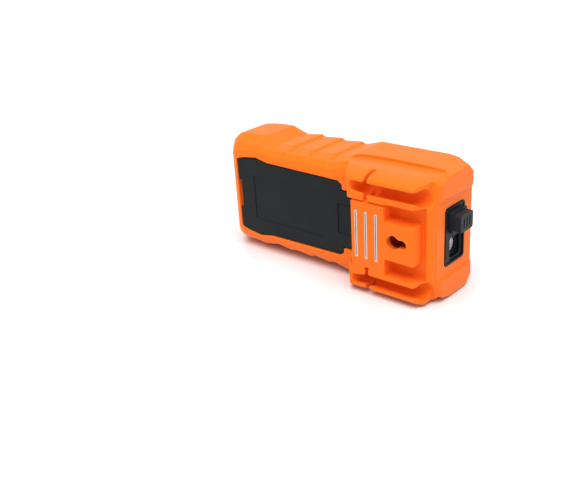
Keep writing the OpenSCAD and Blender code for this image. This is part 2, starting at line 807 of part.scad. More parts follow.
module lcd_frame() {
    color([0.85, 0.86, 0.86]) difference() {
        block(display_x - display_l / 2 - 2.5, display_x + display_l / 2 + 2.5, board_top_y,
              lcd_y, -display_w / 2 - 2.5, display_w / 2 + 2.5);
        block(display_x - display_l / 2 - 0.6, display_x + display_l / 2 + 0.6, lcd_y - 2.9,
              lcd_y + 1, -display_w / 2 - 0.6, display_w / 2 + 0.6);
        block(display_x - display_l / 2 + 6, display_x + display_l / 2 - 6, board_top_y - 1,
              lcd_y, -display_w / 2 + 3, display_w / 2 - 3);
        for (s = [-1, 1]) translate([s * (display_l / 2 - 2), 0, 0])
            block(display_x - 1.1, display_x + 1.1, board_top_y - 1, lcd_y,
                  -display_w / 2 + 3, display_w / 2 - 3);
    }
}

module lcd_connectors() {
    color([0.9, 0.9, 0.92]) for (s = [-1, 1]) translate([s * (display_l / 2 - 2), 0, 0])
        block(display_x - 1, display_x + 1, board_top_y, lcd_y - 2.9,
              -display_w / 2 + 3.5, display_w / 2 - 3.5);
}

// ---------------------------------------------------------- circuit board

module circuit_board() {
    xs = [board_x0, waist_x, head_ramp_x, head_flat_x, case_x1 - 11.5];
    color([0.1, 0.35, 0.2]) along_y(board_y, board_top_y) difference() {
        polygon([for (s = [1, -1], x = s > 0 ? xs : reversed(xs))
                 [x, s * (lookup(x, core_line) - boot_wall - case_wall - 1)]]);
        for (s = [-1, 1]) {
            translate([foot_post[0], s * foot_post[1]]) circle(post_r + 0.4);
            for (p = board_posts) translate([p[0], s * p[1]]) circle(1.2);
        }
        translate([knob_x, 0]) circle(shaft_r - 1.5);
    }
}

module board_screws() {
    color(steel) for (p = board_posts) both_sides()
        screw(p[0], p[1], 1, 2.1, board_y - 1.3, 1.3, board_top_y + 6);
}

// Pieces on the back of the board.
module main_chip() {
    color([0.08, 0.08, 0.09]) block(display_x - 7, display_x + 7, board_y - 1.8, board_y, -7, 7);
}

module capacitors() {
    color([0.15, 0.2, 0.4]) for (p = [[22, -22], [22, -12], [-16, 24]])
        rod_y(display_x + p[0], p[1], 3.2, board_y - 9, board_y);
}

// Thick wire bow that carries the high current.
module current_shunt() {
    color(brass_c) translate([foot_x + 50, board_y, 0]) {
        for (s = [-1, 1]) rod_y(0, s * 5, 0.8, -4, 0);
        along_z(-5.6, 5.6) translate([0, -4]) circle(1);
    }
}

module buzzer() {
    color([0.1, 0.1, 0.11]) difference() {
        rod_y(display_x + 4, 24, 6.2, board_y - 7, board_y);
        rod_y(display_x + 4, 24, 1, board_y - 8, board_y - 4);
    }
}

fuse_x = foot_x + 65;
fuse_l = 32;
fuse_r = 3.1;
fuse_z = 25.5;
fuse_y = board_y - 5;

module fuses() {
    color([0.88, 0.87, 0.82]) both_sides()
        rod_x(fuse_y, fuse_z, fuse_r, fuse_x - fuse_l / 2, fuse_x + fuse_l / 2);
}

module fuse_clips() {
    color(steel) both_sides() for (s = [-1, 1])
        translate([fuse_x + s * (fuse_l / 2 - 3.5), 0, 0]) difference() {
            block(-2.5, 2.5, fuse_y - 2.5, board_y, fuse_z - fuse_r - 0.6,
                  fuse_z + fuse_r + 0.6);
            rod_x(fuse_y, fuse_z, fuse_r + 0.02, -3, 3);
            block(-3, 3, fuse_y - 4, fuse_y, fuse_z - fuse_r + 0.5, fuse_z + fuse_r - 0.5);
        }
}

// -------------------------------------------------------- keys and keypad

key_top_y = case_front_y + overlay_t + key_rise;
flange_y = inner_front_y - 0.3;          // top of a key's flange
mat_y = board_top_y + 1.5;
dome_y = mat_y + 1.2;

module keypad_mat() {
    color([0.3, 0.3, 0.32]) {
        block(key_x - key_pitch_x - 5.5, key_x + 5.5, board_top_y, mat_y,
              -key_pitch_z - 9, key_pitch_z + 9);
        for (i = [0 : 5]) let (p = key_place(i))
            rod_y(p[0], p[1], 3.2, mat_y - 0.5, dome_y);
    }
}

module key(i) {
    p = key_place(i);
    color([0.35, 0.37, 0.38]) {
        along_y(flange_y - 0.5, key_top_y) translate(p) round_rect(key_h, key_w, 1.6);
        along_y(flange_y - 1.8, flange_y) translate(p)
            round_rect(key_h + 2, key_w + 2.4, 1.6);
        rod_y(p[0], p[1], 2.6, dome_y + 0.3 + key_travel, flange_y - 1);
    }
}

// --------------------------------------------------------------- selector

rotor_y = board_top_y + 2.6;             // back of the rotor
rotor_t = dish_y - case_wall - 0.3 - rotor_y;
rotor_r = 15;

module selector_knob() {
    color([0.1, 0.11, 0.12]) difference() {
        union() {
            rod_y(knob_x, 0, knob_r, dish_y + 0.3, dish_y + 2.5);
            rod_y(knob_x, 0, knob_r - 2.5, dish_y + 2, dish_y + 4);
            intersection() {
                rod_y(knob_x, 0, knob_r - 2.5, dish_y + 2, dish_y + knob_h + 0.6);
                along_y(dish_y, dish_y + knob_h + 0.6)
                    translate([knob_x, 0]) round_rect(2 * knob_r, 11, 3);
            }
            rod_y(knob_x, 0, shaft_r, rotor_y, dish_y + 1);
        }
        // finger grooves round the skirt
        for (a = [15 : 30 : 345])
            rod_y(knob_x + (knob_r + 1.2) * cos(a), (knob_r + 1.2) * sin(a), 2.2,
                  dish_y - 1, dish_y + 3);
        // pockets of the detent springs
        for (s = [-1, 1]) rod_y(knob_x + s * 13, 0, 1.6, dish_y - 1, dish_y + 4);
        // pointer mark
        block(knob_x + knob_r - 9, knob_x + knob_r - 3.5, dish_y + knob_h, dish_y + knob_h + 1,
              -0.7, 0.7);
    }
}

module selector_rotor() {
    color([0.9, 0.9, 0.88]) difference() {
        rod_y(knob_x, 0, rotor_r, rotor_y, rotor_y + rotor_t);
        rod_y(knob_x, 0, shaft_r + 0.02, rotor_y - 1, rotor_y + rotor_t + 1);
    }
}

module rotor_wipers() {
    color(brass_c) for (s = [-1, 1]) {
        block(knob_x + s * 10 - 2, knob_x + s * 10 + 2, rotor_y - 0.4, rotor_y, -4, 4);
        for (t = [-1, 1]) block(knob_x + s * 10 - 1.6, knob_x + s * 10 + 1.6, board_top_y + 0.3,
                                rotor_y - 0.3, t * 3.2 - 0.4, t * 3.2 + 0.4);
    }
}

module detent_balls() {
    color(steel) for (s = [-1, 1])
        translate([knob_x + s * 13, dish_y + 1.8, 0]) sphere(1.45);
}

module detent_springs() {
    color(steel) for (s = [-1, 1]) translate([knob_x + s * 13, dish_y + 3.3, 0])
        rotate([-90, 0, 0]) cylinder(h = 0.7, r = 1.2);
}

// ------------------------------------------------------------ input jacks

module input_sleeve(i) {
    color(brass_c) difference() {
        union() {
            rod_y(jack_x, jack_z(i), jack_sleeve_r, jack_floor_y - 4, jack_top_y);
            // strap from the sleeve's end to the circuit board
            block(jack_x, strap_x, jack_floor_y - 4, jack_floor_y - 3,
                  jack_z(i) - 1.5, jack_z(i) + 1.5);
            block(strap_x - 1, strap_x, jack_floor_y - 4, board_y,
                  jack_z(i) - 1.5, jack_z(i) + 1.5);
        }
        rod_y(jack_x, jack_z(i), jack_bore_r, jack_floor_y, jack_top_y + 1);
    }
}

// ---------------------------------------------------------------- top end

module end_bezel() {
    color(slate) difference() {
        along_x(case_x1, top_x + 0.6)
            translate([bezel_y, 0]) round_rect(bezel_t, bezel_w, 2.4);
        along_x(case_x1 - 1, top_x + 2) translate([recess_y, torch_z]) round_rect(18, 19, 3);
        along_x(case_x1 - 1, top_x + 2) translate([nose_y, nose_z])
            round_rect(nose_t + 3.1, nose_w + 3.1, 2);
    }
}

module sensor_nose() {
    color([0.16, 0.18, 0.19]) difference() {
        union() {
            along_x(case_x1, nose_x) translate([nose_y, nose_z]) round_rect(nose_t, nose_w, 2);
            along_x(case_x1, top_x + 3) translate([nose_y, nose_z])
                round_rect(nose_t + 3, nose_w + 3, 2);
            for (k = [-1 : 1]) along_x(nose_x - 1, nose_x + 0.01)
                translate([nose_y, nose_z + k * 3]) round_rect(7, 1, 0.4);
        }
        block(case_x1 - 1, nose_x - 2, nose_y - 5, nose_y + 5, nose_z - 4, nose_z + 4);
    }
}

module sensor_antenna() {
    color(brass_c) block(case_x1 - 8, nose_x - 2, nose_y - 0.4, nose_y + 0.4,
                         nose_z - 2.5, nose_z + 2.5);
}

module torch_reflector() {
    color([0.9, 0.9, 0.92]) translate([torch_x, torch_y, torch_z]) rotate([0, 90, 0])
        rotate_extrude() polygon([[1.8, 0], [2.6, 0], [torch_r + 0.8, 6.5], [torch_r + 1.6, 6.5],
                                  [torch_r + 1.6, 7.3], [torch_r, 7.3], [2, 0.8], [1.8, 0.8]]);
}

module torch_led() {
    color([1, 1, 0.8]) {
        rod_x(torch_y, torch_z, 1.7, torch_x - 0.5, torch_x + 2.5);
        translate([torch_x + 2.5, torch_y, torch_z]) sphere(1.7);
    }
}

module torch_board() {
    color([0.1, 0.35, 0.2]) block(torch_x - 2, torch_x - 0.5, torch_y - 6, torch_y + 6,
                                  torch_z - 7, torch_z + 7);
}

// ------------------------------------------------------------------ nodes

placed() protective_boot();
placed() magnet_bars();
placed() kickstand();
placed() kickstand_pins();
placed() rear_case();
placed() front_case();
placed() case_screws();
placed() battery_door();
placed() battery_door_screws();
placed() battery_cells();
placed() battery_springs();
placed() battery_plates();
placed() face_plate();
placed() display_window();
placed() lcd_panel();
placed() lcd_frame();
placed() lcd_connectors();
placed() circuit_board();
placed() board_screws();
placed() main_chip();
placed() capacitors();
placed() current_shunt();
placed() buzzer();
placed() fuses();
placed() fuse_clips();
placed() keypad_mat();
placed() key(0);  // key_1
placed() key(1);  // key_2
placed() key(2);  // key_3
placed() key(3);  // key_4
placed() key(4);  // key_5
placed() key(5);  // key_6
placed() selector_knob();
placed() selector_rotor();
placed() rotor_wipers();
placed() detent_balls();
placed() detent_springs();
placed() input_sleeve(0);  // input_sleeve_1
placed() input_sleeve(1);  // input_sleeve_2
placed() input_sleeve(2);  // input_sleeve_3
placed() input_sleeve(3);  // input_sleeve_4
placed() end_bezel();
placed() sensor_nose();
placed() sensor_antenna();
placed() torch_reflector();
placed() torch_led();
placed() torch_board();
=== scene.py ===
"""Dresses the component tester: boot, kickstand, magnets, top end, front and inner pieces."""

import math

import bmesh
import bpy
from bpy.props import FloatProperty, FloatVectorProperty, IntProperty, PointerProperty
from mathutils import Matrix, Vector


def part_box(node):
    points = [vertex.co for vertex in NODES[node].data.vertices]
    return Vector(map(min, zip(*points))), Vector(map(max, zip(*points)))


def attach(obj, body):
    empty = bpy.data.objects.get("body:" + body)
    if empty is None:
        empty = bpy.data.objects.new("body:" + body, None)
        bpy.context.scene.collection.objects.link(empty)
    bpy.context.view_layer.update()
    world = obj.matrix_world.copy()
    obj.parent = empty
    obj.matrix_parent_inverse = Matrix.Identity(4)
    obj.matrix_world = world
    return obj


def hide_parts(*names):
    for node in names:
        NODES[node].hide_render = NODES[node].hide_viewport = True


bl_info = {
    "name": "Component Tester",
    "version": (1, 0, 0),
    "blender": (4, 5, 0),
    "location": "View3D > Sidebar > Tester",
    "description": "Builds the finishes and rounded pieces of a handheld component tester",
    "category": "Object",
}

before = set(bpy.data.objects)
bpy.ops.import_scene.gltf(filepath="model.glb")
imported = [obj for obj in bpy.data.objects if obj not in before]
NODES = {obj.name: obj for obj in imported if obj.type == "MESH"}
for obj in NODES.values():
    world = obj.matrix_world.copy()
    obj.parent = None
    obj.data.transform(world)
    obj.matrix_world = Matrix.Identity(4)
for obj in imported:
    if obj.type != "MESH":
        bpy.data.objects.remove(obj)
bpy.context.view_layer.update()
MM = 0.001
# From the middle of the boot, where its sections are drawn, to where the tester stands.
SHIFT = (-0.00425, 0.0075, 0.047)
# Thickness of the printed marks, and the slot that gives their finish.
PRINT_T = 0.00012
# Distance between the cells of the display.
CELL_PITCH = 0.0062
# Most triangles that the boot's skin may have.
SKIN_TRIANGLES = 190000


def middle(node):
    """Middle of a CAD node's box."""
    low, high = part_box(node)
    return (low + high) / 2


def drawn_box(node):
    """A CAD node's lowest and highest corners in mm, from the middle of the boot."""
    return [[(a - b) / MM for a, b in zip(corner, SHIFT)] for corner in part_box(node)]


# ---------------------------------------------------------------- finishes


class Nodes:
    """A node tree being made."""

    def __init__(self, tree):
        self.nodes = tree.nodes
        self.links = tree.links

    def feed(self, socket, value):
        """Sets a socket to a number or colour, or links another socket to it."""
        if isinstance(value, bpy.types.NodeSocket):
            self.links.new(value, socket)
        elif isinstance(value, tuple) and len(value) == 3 and socket.type == "RGBA":
            socket.default_value = (*value, 1)
        else:
            socket.default_value = value

    def add(self, kind, feeds=(), output=0, **settings):
        """Adds a node, feeds its inputs, and returns one of its outputs."""
        node = self.nodes.new(kind)
        for key, value in settings.items():
            setattr(node, key, value)
        for label, value in dict(feeds).items():
            self.feed(node.inputs[label], value)
        return node.outputs[output] if node.outputs else None

    def maths(self, operation, a, b):
        return self.add("ShaderNodeMath", {0: a, 1: b}, operation=operation)


class Finish(Nodes):
    """A node material being made: its shader, its colour and its relief."""

    def __init__(self, name, colour, roughness, metallic=0.0):
        self.material = bpy.data.materials.new(name)
        self.material.use_nodes = True
        super().__init__(self.material.node_tree)
        self.shader = self.nodes["Principled BSDF"]
        self.fix("Metallic", metallic)
        self.fix("Roughness", roughness)
        self.fix("Base Color", (*colour, 1))
        self.place = self.add("ShaderNodeTexCoord", output="Object")
        self.colour = tuple(colour)
        self.roughness = roughness
        self.relief = None

    def fix(self, name, value):
        """Sets one of the shader's own sockets to the same value all over."""
        self.shader.inputs[name].default_value = value

    def placed(self, stretch=(1, 1, 1), turn=(0, 0, 0)):
        """The piece's own coordinates, stretched and turned for a pattern."""
        feeds = {"Vector": self.place, "Scale": stretch, "Rotation": turn}
        return self.add("ShaderNodeMapping", feeds)

    def noise(self, size, detail=2.0, rough=0.5, stretch=(1, 1, 1)):
        """Noise whose cells are about size metres across."""
        feeds = {"Vector": self.placed(stretch), "Scale": 1 / size}
        feeds.update({"Detail": detail, "Roughness": rough})
        return self.add("ShaderNodeTexNoise", feeds)

    def cells(self, size):
        """Distance from the middles of pebbles that are about size metres across."""
        return self.add("ShaderNodeTexVoronoi", {"Vector": self.placed(), "Scale": 1 / size})

    def band(self, value, low, high):
        """0 below low, 1 above high, smooth between."""
        feeds = {"Value": value, "From Min": low, "From Max": high}
        return self.add("ShaderNodeMapRange", feeds, interpolation_type="SMOOTHSTEP")

    def scaled(self, value, low, high):
        """A value from 0 to 1, brought between low and high."""
        return self.add("ShaderNodeMapRange", {"Value": value, "To Min": low, "To Max": high})

    def bend(self):
        """How far a finely meshed surface bends outwards, for a painted highlight along edges.
        """
        return self.add("ShaderNodeNewGeometry", output="Pointiness")

    def edges(self):
        """1 on the rounded edges of an eased piece, where the finishes paint a highlight."""
        return self.add("ShaderNodeAttribute", output="Fac", attribute_name="edge_highlight")

    def tint(self, share, colour):
        """Mixes a second colour in where share is high."""
        feeds = {"Factor": share, 6: self.colour, 7: colour}
        self.colour = self.add("ShaderNodeMix", feeds, 2, data_type="RGBA")

    def gloss(self, value):
        self.roughness = value

    def emboss(self, height, depth, strength):
        """Adds relief, depth metres deep, to what is there."""
        feeds = {"Height": height, "Distance": depth, "Strength": strength}
        if self.relief is not None:
            feeds["Normal"] = self.relief
        self.relief = self.add("ShaderNodeBump", feeds)

    def done(self):
        """Links what was made to the shader."""
        self.feed(self.shader.inputs["Base Color"], self.colour)
        self.feed(self.shader.inputs["Roughness"], self.roughness)
        if self.relief is not None:
            self.feed(self.shader.inputs["Normal"], self.relief)
        return self.material


def shade(colour, amount):
    """A darker (below 1) or lighter (above 1) version of a colour."""
    return tuple(min(1.0, c * amount) for c in colour)


def boot_elastomer(colour):
    """Matt moulded elastomer with a fine spark-eroded grain and faint handling marks."""
    f = Finish("boot_elastomer", colour, 0.5)
    f.tint(f.band(f.noise(0.03, 3), 0.35, 0.75), shade(colour, 0.95))
    f.tint(f.scaled(f.noise(0.0009, 4, 0.7), 0.0, 0.12), shade(colour, 0.76))
    # Painted highlight: a lighter orange where the skin bends outwards at its edges.
    f.tint(f.maths("MULTIPLY", f.band(f.bend(), 0.505, 0.56), 0.16), (1.0, 0.3, 0.05))
    smear = f.band(f.noise(0.012, 5, 0.6, (1, 1, 2.2)), 0.52, 0.72)
    f.gloss(f.scaled(smear, 0.42, 0.52))
    f.emboss(f.noise(0.00035, 3, 0.6), 0.00003, 0.5)
    f.emboss(f.noise(0.006, 2), 0.0002, 0.4)
    f.fix("Specular IOR Level", 0.1)
    f.fix("Sheen Weight", 0.34)
    f.fix("Sheen Roughness", 0.4)
    f.fix("Sheen Tint", (1.0, 0.7, 0.38, 1))
    return f.done()


def textured_plastic(name, colour, roughness=0.5, grain=0.0004, depth=0.00005):
    """Hard moulded plastic with a leathery spark-eroded texture."""
    f = Finish(name, colour, roughness)
    f.tint(f.band(f.noise(0.02, 3), 0.4, 0.75), shade(colour, 0.82))
    f.tint(f.scaled(f.noise(grain * 1.7, 3, 0.7), 0.0, 0.35), shade(colour, 1.5))
    # Painted highlight: the rounded edges are lightened, patchy with noise.
    lit_edges = f.maths("MULTIPLY", f.edges(), f.band(f.noise(0.006, 4, 0.6), 0.3, 0.7))
    f.tint(f.maths("MULTIPLY", lit_edges, 0.5), shade(colour, 2.6))
    rub = f.band(f.noise(0.009, 5, 0.65, (1, 1, 3)), 0.5, 0.75)
    f.gloss(f.scaled(rub, roughness - 0.05, roughness + 0.09))
    f.emboss(f.cells(grain), depth, 0.5)
    f.emboss(f.noise(0.008, 2), 0.0001, 0.3)
    f.fix("Specular IOR Level", 0.12)
    return f.done()


def satin_film(name, colour):
    """Smooth back-printed film of the face plate."""
    f = Finish(name, colour, 0.36)
    f.tint(f.band(f.noise(0.04, 2), 0.35, 0.8), shade(colour, 0.85))
    f.tint(f.scaled(f.noise(0.00012, 2), 0, 0.2), shade(colour, 1.6))
    f.gloss(f.scaled(f.noise(0.015, 4), 0.32, 0.42))
    f.emboss(f.noise(0.0003, 2), 0.000012, 0.4)
    return f.done()


def brushed_metal(name, colour, roughness):
    """Drawn and plated metal with fine lines along Z and a little tarnish."""
    f = Finish(name, colour, roughness, 1.0)
    lines = f.noise(0.0012, 4, 0.6, (1, 1, 1 / 24))
    f.tint(f.band(f.noise(0.004, 4, 0.6), 0.5, 0.8), shade(colour, 0.8))
    f.tint(f.scaled(lines, 0, 0.3), shade(colour, 0.75))
    f.gloss(f.scaled(lines, roughness - 0.08, roughness + 0.12))
    f.emboss(lines, 0.000015, 0.5)
    return f.done()


def plated_metal(name, colour, roughness=0.25):
    """Plated wire, screws and sheet with small pits."""
    f = Finish(name, colour, roughness, 1.0)
    f.tint(f.band(f.noise(0.0015, 5, 0.65), 0.52, 0.74), shade(colour, 0.72))
    f.gloss(f.scaled(f.noise(0.0008, 3), roughness - 0.07, roughness + 0.13))
    f.emboss(f.noise(0.0003, 3), 0.00001, 0.5)
    return f.done()


def mirror_metal(name, colour):
    """Metallised plastic of the torch's reflector: silvery, with a faint orange-peel."""
    f = Finish(name, colour, 0.25, 0.35)
    f.tint(f.band(f.noise(0.002, 3), 0.45, 0.8), shade(colour, 0.9))
    f.gloss(f.scaled(f.noise(0.001, 3), 0.2, 0.32))
    f.emboss(f.noise(0.0016, 2), 0.00003, 0.5)
    return f.done()


def soft_rubber(name, colour):
    """Moulded silicone of the keys and of the keypad mat."""
    f = Finish(name, colour, 0.56)
    f.tint(f.band(f.noise(0.005, 3), 0.4, 0.8), shade(colour, 0.85))
    f.tint(f.scaled(f.noise(0.0002, 2), 0, 0.25), shade(colour, 1.35))
    f.gloss(f.scaled(f.noise(0.004, 4), 0.5, 0.66))
    f.emboss(f.noise(0.00025, 2), 0.00002, 0.5)
    f.fix("Sheen Weight", 0.12)
    return f.done()


def glazed(name, colour, roughness=0.2):
    """Smooth hard surface, such as a ceramic fuse body or a moulded rotor."""
    f = Finish(name, colour, roughness)
    f.tint(f.band(f.noise(0.003, 3), 0.4, 0.8), shade(colour, 0.88))
    f.gloss(f.scaled(f.noise(0.002, 3), roughness - 0.05, roughness + 0.1))
    f.emboss(f.noise(0.0006, 2), 0.00001, 0.4)
    return f.done()


def clear_window(colour):
    """Clear cast window over the display, faintly grey."""
    f = Finish("display_window_clear", colour, 0.04)
    f.tint(f.band(f.noise(0.03, 2), 0.4, 0.8), shade(colour, 0.95))
    f.gloss(f.scaled(f.noise(0.01, 4), 0.02, 0.07))
    f.fix("Transmission Weight", 1.0)
    f.fix("IOR", 1.49)
    return f.done()


def display_glass(colour):
    """Grey liquid-crystal glass with its faint grid of cells."""
    f = Finish("display_crystal", colour, 0.22)
    waves = []
    for axis in "XZ":
        feeds = {"Vector": f.placed(), "Scale": 1 / CELL_PITCH}
        waves.append(f.add("ShaderNodeTexWave", feeds, "Fac", bands_direction=axis))
    grid = f.maths("MULTIPLY", *waves)
    f.tint(f.band(f.noise(0.03, 2), 0.3, 0.8), shade(colour, 0.9))
    f.tint(f.scaled(grid, 0, 0.14), shade(colour, 0.55))
    f.gloss(f.scaled(f.noise(0.01, 2), 0.18, 0.28))
    return f.done()


def solder_resist(colour):
    """Green circuit board: copper runs under the resist, with bright pads."""
    f = Finish("solder_resist", colour, 0.3)
    feeds = {"Vector": f.placed(turn=(math.pi / 2, 0, 0)), "Scale": 220, "Mortar Size": 0.035}
    feeds.update({"Color1": (0, 0, 0), "Color2": (0, 0, 0), "Mortar": (1, 1, 1)})
    runs = f.add("ShaderNodeTexBrick", feeds, "Fac")
    f.tint(f.band(f.noise(0.012, 3), 0.4, 0.7), shade(colour, 0.7))
    f.tint(f.maths("MULTIPLY", runs, 0.6), shade(colour, 2.2))
    pads = f.band(f.cells(0.004), 0.16, 0.1)
    f.tint(pads, (0.72, 0.7, 0.62))
    f.gloss(f.scaled(pads, 0.3, 0.18))
    f.emboss(runs, 0.00003, 0.6)
    return f.done()


def cell_sleeve(colour):
    """Printed sleeve of a battery, plain, with a faint lengthwise seam."""
    f = Finish("battery_sleeve", colour, 0.3)
    f.tint(f.band(f.noise(0.03, 2, 0.5, (6, 1, 1)), 0.45, 0.6), shade(colour, 1.4))
    f.tint(f.scaled(f.noise(0.0003, 2), 0, 0.2), shade(colour, 0.7))
    f.gloss(f.scaled(f.noise(0.003, 3), 0.24, 0.4))
    f.emboss(f.noise(0.004, 3), 0.00003, 0.4)
    return f.done()


def clear_resin(colour):
    """Cloudy lens of the torch's lamp with its yellow phosphor."""
    f = Finish("lamp_resin", colour, 0.12)
    f.tint(f.band(f.noise(0.0012, 2), 0.35, 0.65), (0.95, 0.78, 0.25))
    f.gloss(f.scaled(f.noise(0.001, 2), 0.08, 0.2))
    f.fix("Coat Weight", 0.6)
    return f.done()


def printed_ink(name, colour):
    """Screen-printed mark, a little uneven."""
    f = Finish(name, colour, 0.45)
    f.tint(f.scaled(f.noise(0.0004, 3), 0, 0.25), shade(colour, 0.8))
    f.gloss(f.scaled(f.noise(0.001, 2), 0.4, 0.55))
    f.emboss(f.noise(0.0002, 2), 0.000008, 0.4)
    return f.done()


# ------------------------------------------------------------------ pieces


def paint(obj, material):
    """Gives an object one material."""
    obj.data.materials.clear()
    obj.data.materials.append(material)


def paint_nodes(material, *names):
    """Gives CAD nodes that stay a material."""
    for name in names:
        paint(NODES[name], material)


def as_piece(name, mesh, body, material=None):
    """A mesh becomes a named piece that rides on a body."""
    obj = bpy.data.objects.new(name, mesh)
    bpy.context.scene.collection.objects.link(obj)
    if material is not None:
        paint(obj, material)
    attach(obj, body)
    return obj


def new_mesh(name, bm):
    """A mesh with what a bmesh holds, which is freed."""
    mesh = bpy.data.meshes.new(name)
    bm.to_mesh(mesh)
    bm.free()
    return mesh


def merged_copy(node):
    """The node's mesh with its loose triangles joined, and its flat faces made whole."""
    bm = bmesh.new()
    bm.from_mesh(NODES[node].data)
    bmesh.ops.remove_doubles(bm, verts=bm.verts, dist=1e-6)
    bmesh.ops.dissolve_limit(bm, angle_limit=math.radians(0.4), verts=bm.verts, edges=bm.edges)
    mesh = new_mesh(node + "_copy", bm)
    mesh.materials.clear()
    return mesh


def settled(obj):
    """The mesh that an object's modifiers leave, with the modifiers gone."""
    graph = bpy.context.evaluated_depsgraph_get()
    graph.update()
    mesh = bpy.data.meshes.new_from_object(obj.evaluated_get(graph))
    obj.modifiers.clear()
    return mesh


def work_object(mesh):
    """A passing object to work on a mesh with."""
    obj = bpy.data.objects.new("work", mesh)
    bpy.context.scene.collection.objects.link(obj)
    return obj


def taken(work):
    """A work object's mesh, with its modifiers applied and the object gone."""
    mesh = settled(work) if work.modifiers else work.data
    bpy.data.objects.remove(work)
    return mesh


def prism(axis, outline, low, high):
    """A closed mesh: an outline in mm, drawn out along an axis from low to high.

    The outline's pairs are (y, z), (x, z) or (x, y) for the axes x, y and z.
    """
    bm = bmesh.new()
    ends = []
    for level in (low, high):
        ring = []
        for pair in outline:
            point = list(pair)
            point.insert("xyz".index(axis), level)
            ring.append(bm.verts.new([a * MM + b for a, b in zip(point, SHIFT)]))
        ends.append(ring)
    bm.faces.new(ends[0])
    bm.faces.new(ends[1])
    for i in range(len(outline)):
        j = (i + 1) % len(outline)
        bm.faces.new((ends[0][i], ends[0][j], ends[1][j], ends[1][i]))
    bmesh.ops.recalc_face_normals(bm, faces=bm.faces)
    return new_mesh("prism", bm)


def arc(centre, radius, start, count, steps):
    """Points of an arc: count of them, each a turn divided by steps on from the last."""
    x, y = centre
    angles = [start + 2 * math.pi * i / steps for i in range(count)]
    return [(x + radius * math.cos(a), y + radius * math.sin(a)) for a in angles]


def box_outline(centre, width, height, radius):
    """Points of a rectangle with round corners."""
    x, y = centre
    half_w, half_h = width / 2 - radius, height / 2 - radius
    points = []
    for turn, (sx, sy) in enumerate(((1, 1), (-1, 1), (-1, -1), (1, -1))):
        corner = (x + sx * half_w, y + sy * half_h)
        points += arc(corner, radius, math.pi / 2 * turn, 6, 20)
    return points


def carve(work, tool, operation="DIFFERENCE"):
    """Cuts a mesh out of a work object, or joins or crosses it with the object."""
    other = work_object(tool)
    cut = work.modifiers.new("cut", "BOOLEAN")
    cut.operation = operation
    cut.solver = "EXACT"
    cut.object = other
    work.data = settled(work)
    bpy.data.objects.remove(other)


def crossed(*meshes):
    """What several meshes have in common."""
    work = work_object(meshes[0])
    for mesh in meshes[1:]:
        carve(work, mesh, "INTERSECT")
    return taken(work)


def mirrored(mesh):
    """The same mesh on the tester's other long side."""
    bm = bmesh.new()
    bm.from_mesh(mesh)
    for vert in bm.verts:
        vert.co.z = 2 * SHIFT[2] - vert.co.z
    bmesh.ops.reverse_faces(bm, faces=bm.faces)
    return new_mesh(mesh.name, bm)


def round_off(work, level, width):
    """Rounds the outline of a piece's end face, which lies at the level x."""
    bm = bmesh.new()
    bm.from_mesh(work.data)
    rim = [
        edge
        for edge in bm.edges
        if all(v.co.x > level - 0.00005 for v in edge.verts) and edge.calc_face_angle(0) > 0.8
    ]
    bmesh.ops.bevel(
        bm, geom=rim, offset=width, segments=4, affect="EDGES", profile=0.5, clamp_overlap=True
    )
    bm.to_mesh(work.data)
    bm.free()


def mark_wear(mesh):
    """Notes the rounded edges, which the bevel gave slot 1, where the finishes paint a
    highlight.
    """
    highlight_layer = mesh.attributes.new("edge_highlight", "FLOAT", "FACE")
    slots = [0] * len(mesh.polygons)
    mesh.polygons.foreach_get("material_index", slots)
    highlight_layer.data.foreach_set("value", [float(slot > 0) for slot in slots])
    mesh.polygons.foreach_set("material_index", [0] * len(slots))


def smooth_faces(mesh):
    """Shades every face smooth."""
    mesh.polygons.foreach_set("use_smooth", [True] * len(mesh.polygons))


def eased(node, body, material, width, cutters=(), end=None):
    """A CAD node with every edge eased to a small radius. It replaces the node.

    The cutters are carved out of it first, and end is the radius round its end face.
    """
    work = work_object(merged_copy(node))
    if end is not None:
        round_off(work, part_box(node)[1].x, end)
    for cutter in cutters:
        carve(work, cutter)
    for kind in ("flat", "rounded"):
        helper = bpy.data.materials.get(kind) or bpy.data.materials.new(kind)
        work.data.materials.append(helper)
    bevel = work.modifiers.new("edges", "BEVEL")
    bevel.width = width
    bevel.segments = 3
    bevel.limit_method = "ANGLE"
    bevel.angle_limit = math.radians(26)
    bevel.material = 1
    smooth_faces(work.data)
    weigh = work.modifiers.new("flats", "WEIGHTED_NORMAL")
    weigh.mode = "FACE_AREA_WITH_ANGLE"
    weigh.weight = 100
    mesh = taken(work)
    mark_wear(mesh)
    mesh.name = node + "_eased"
    obj = as_piece(mesh.name, mesh, body, material)
    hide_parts(node)


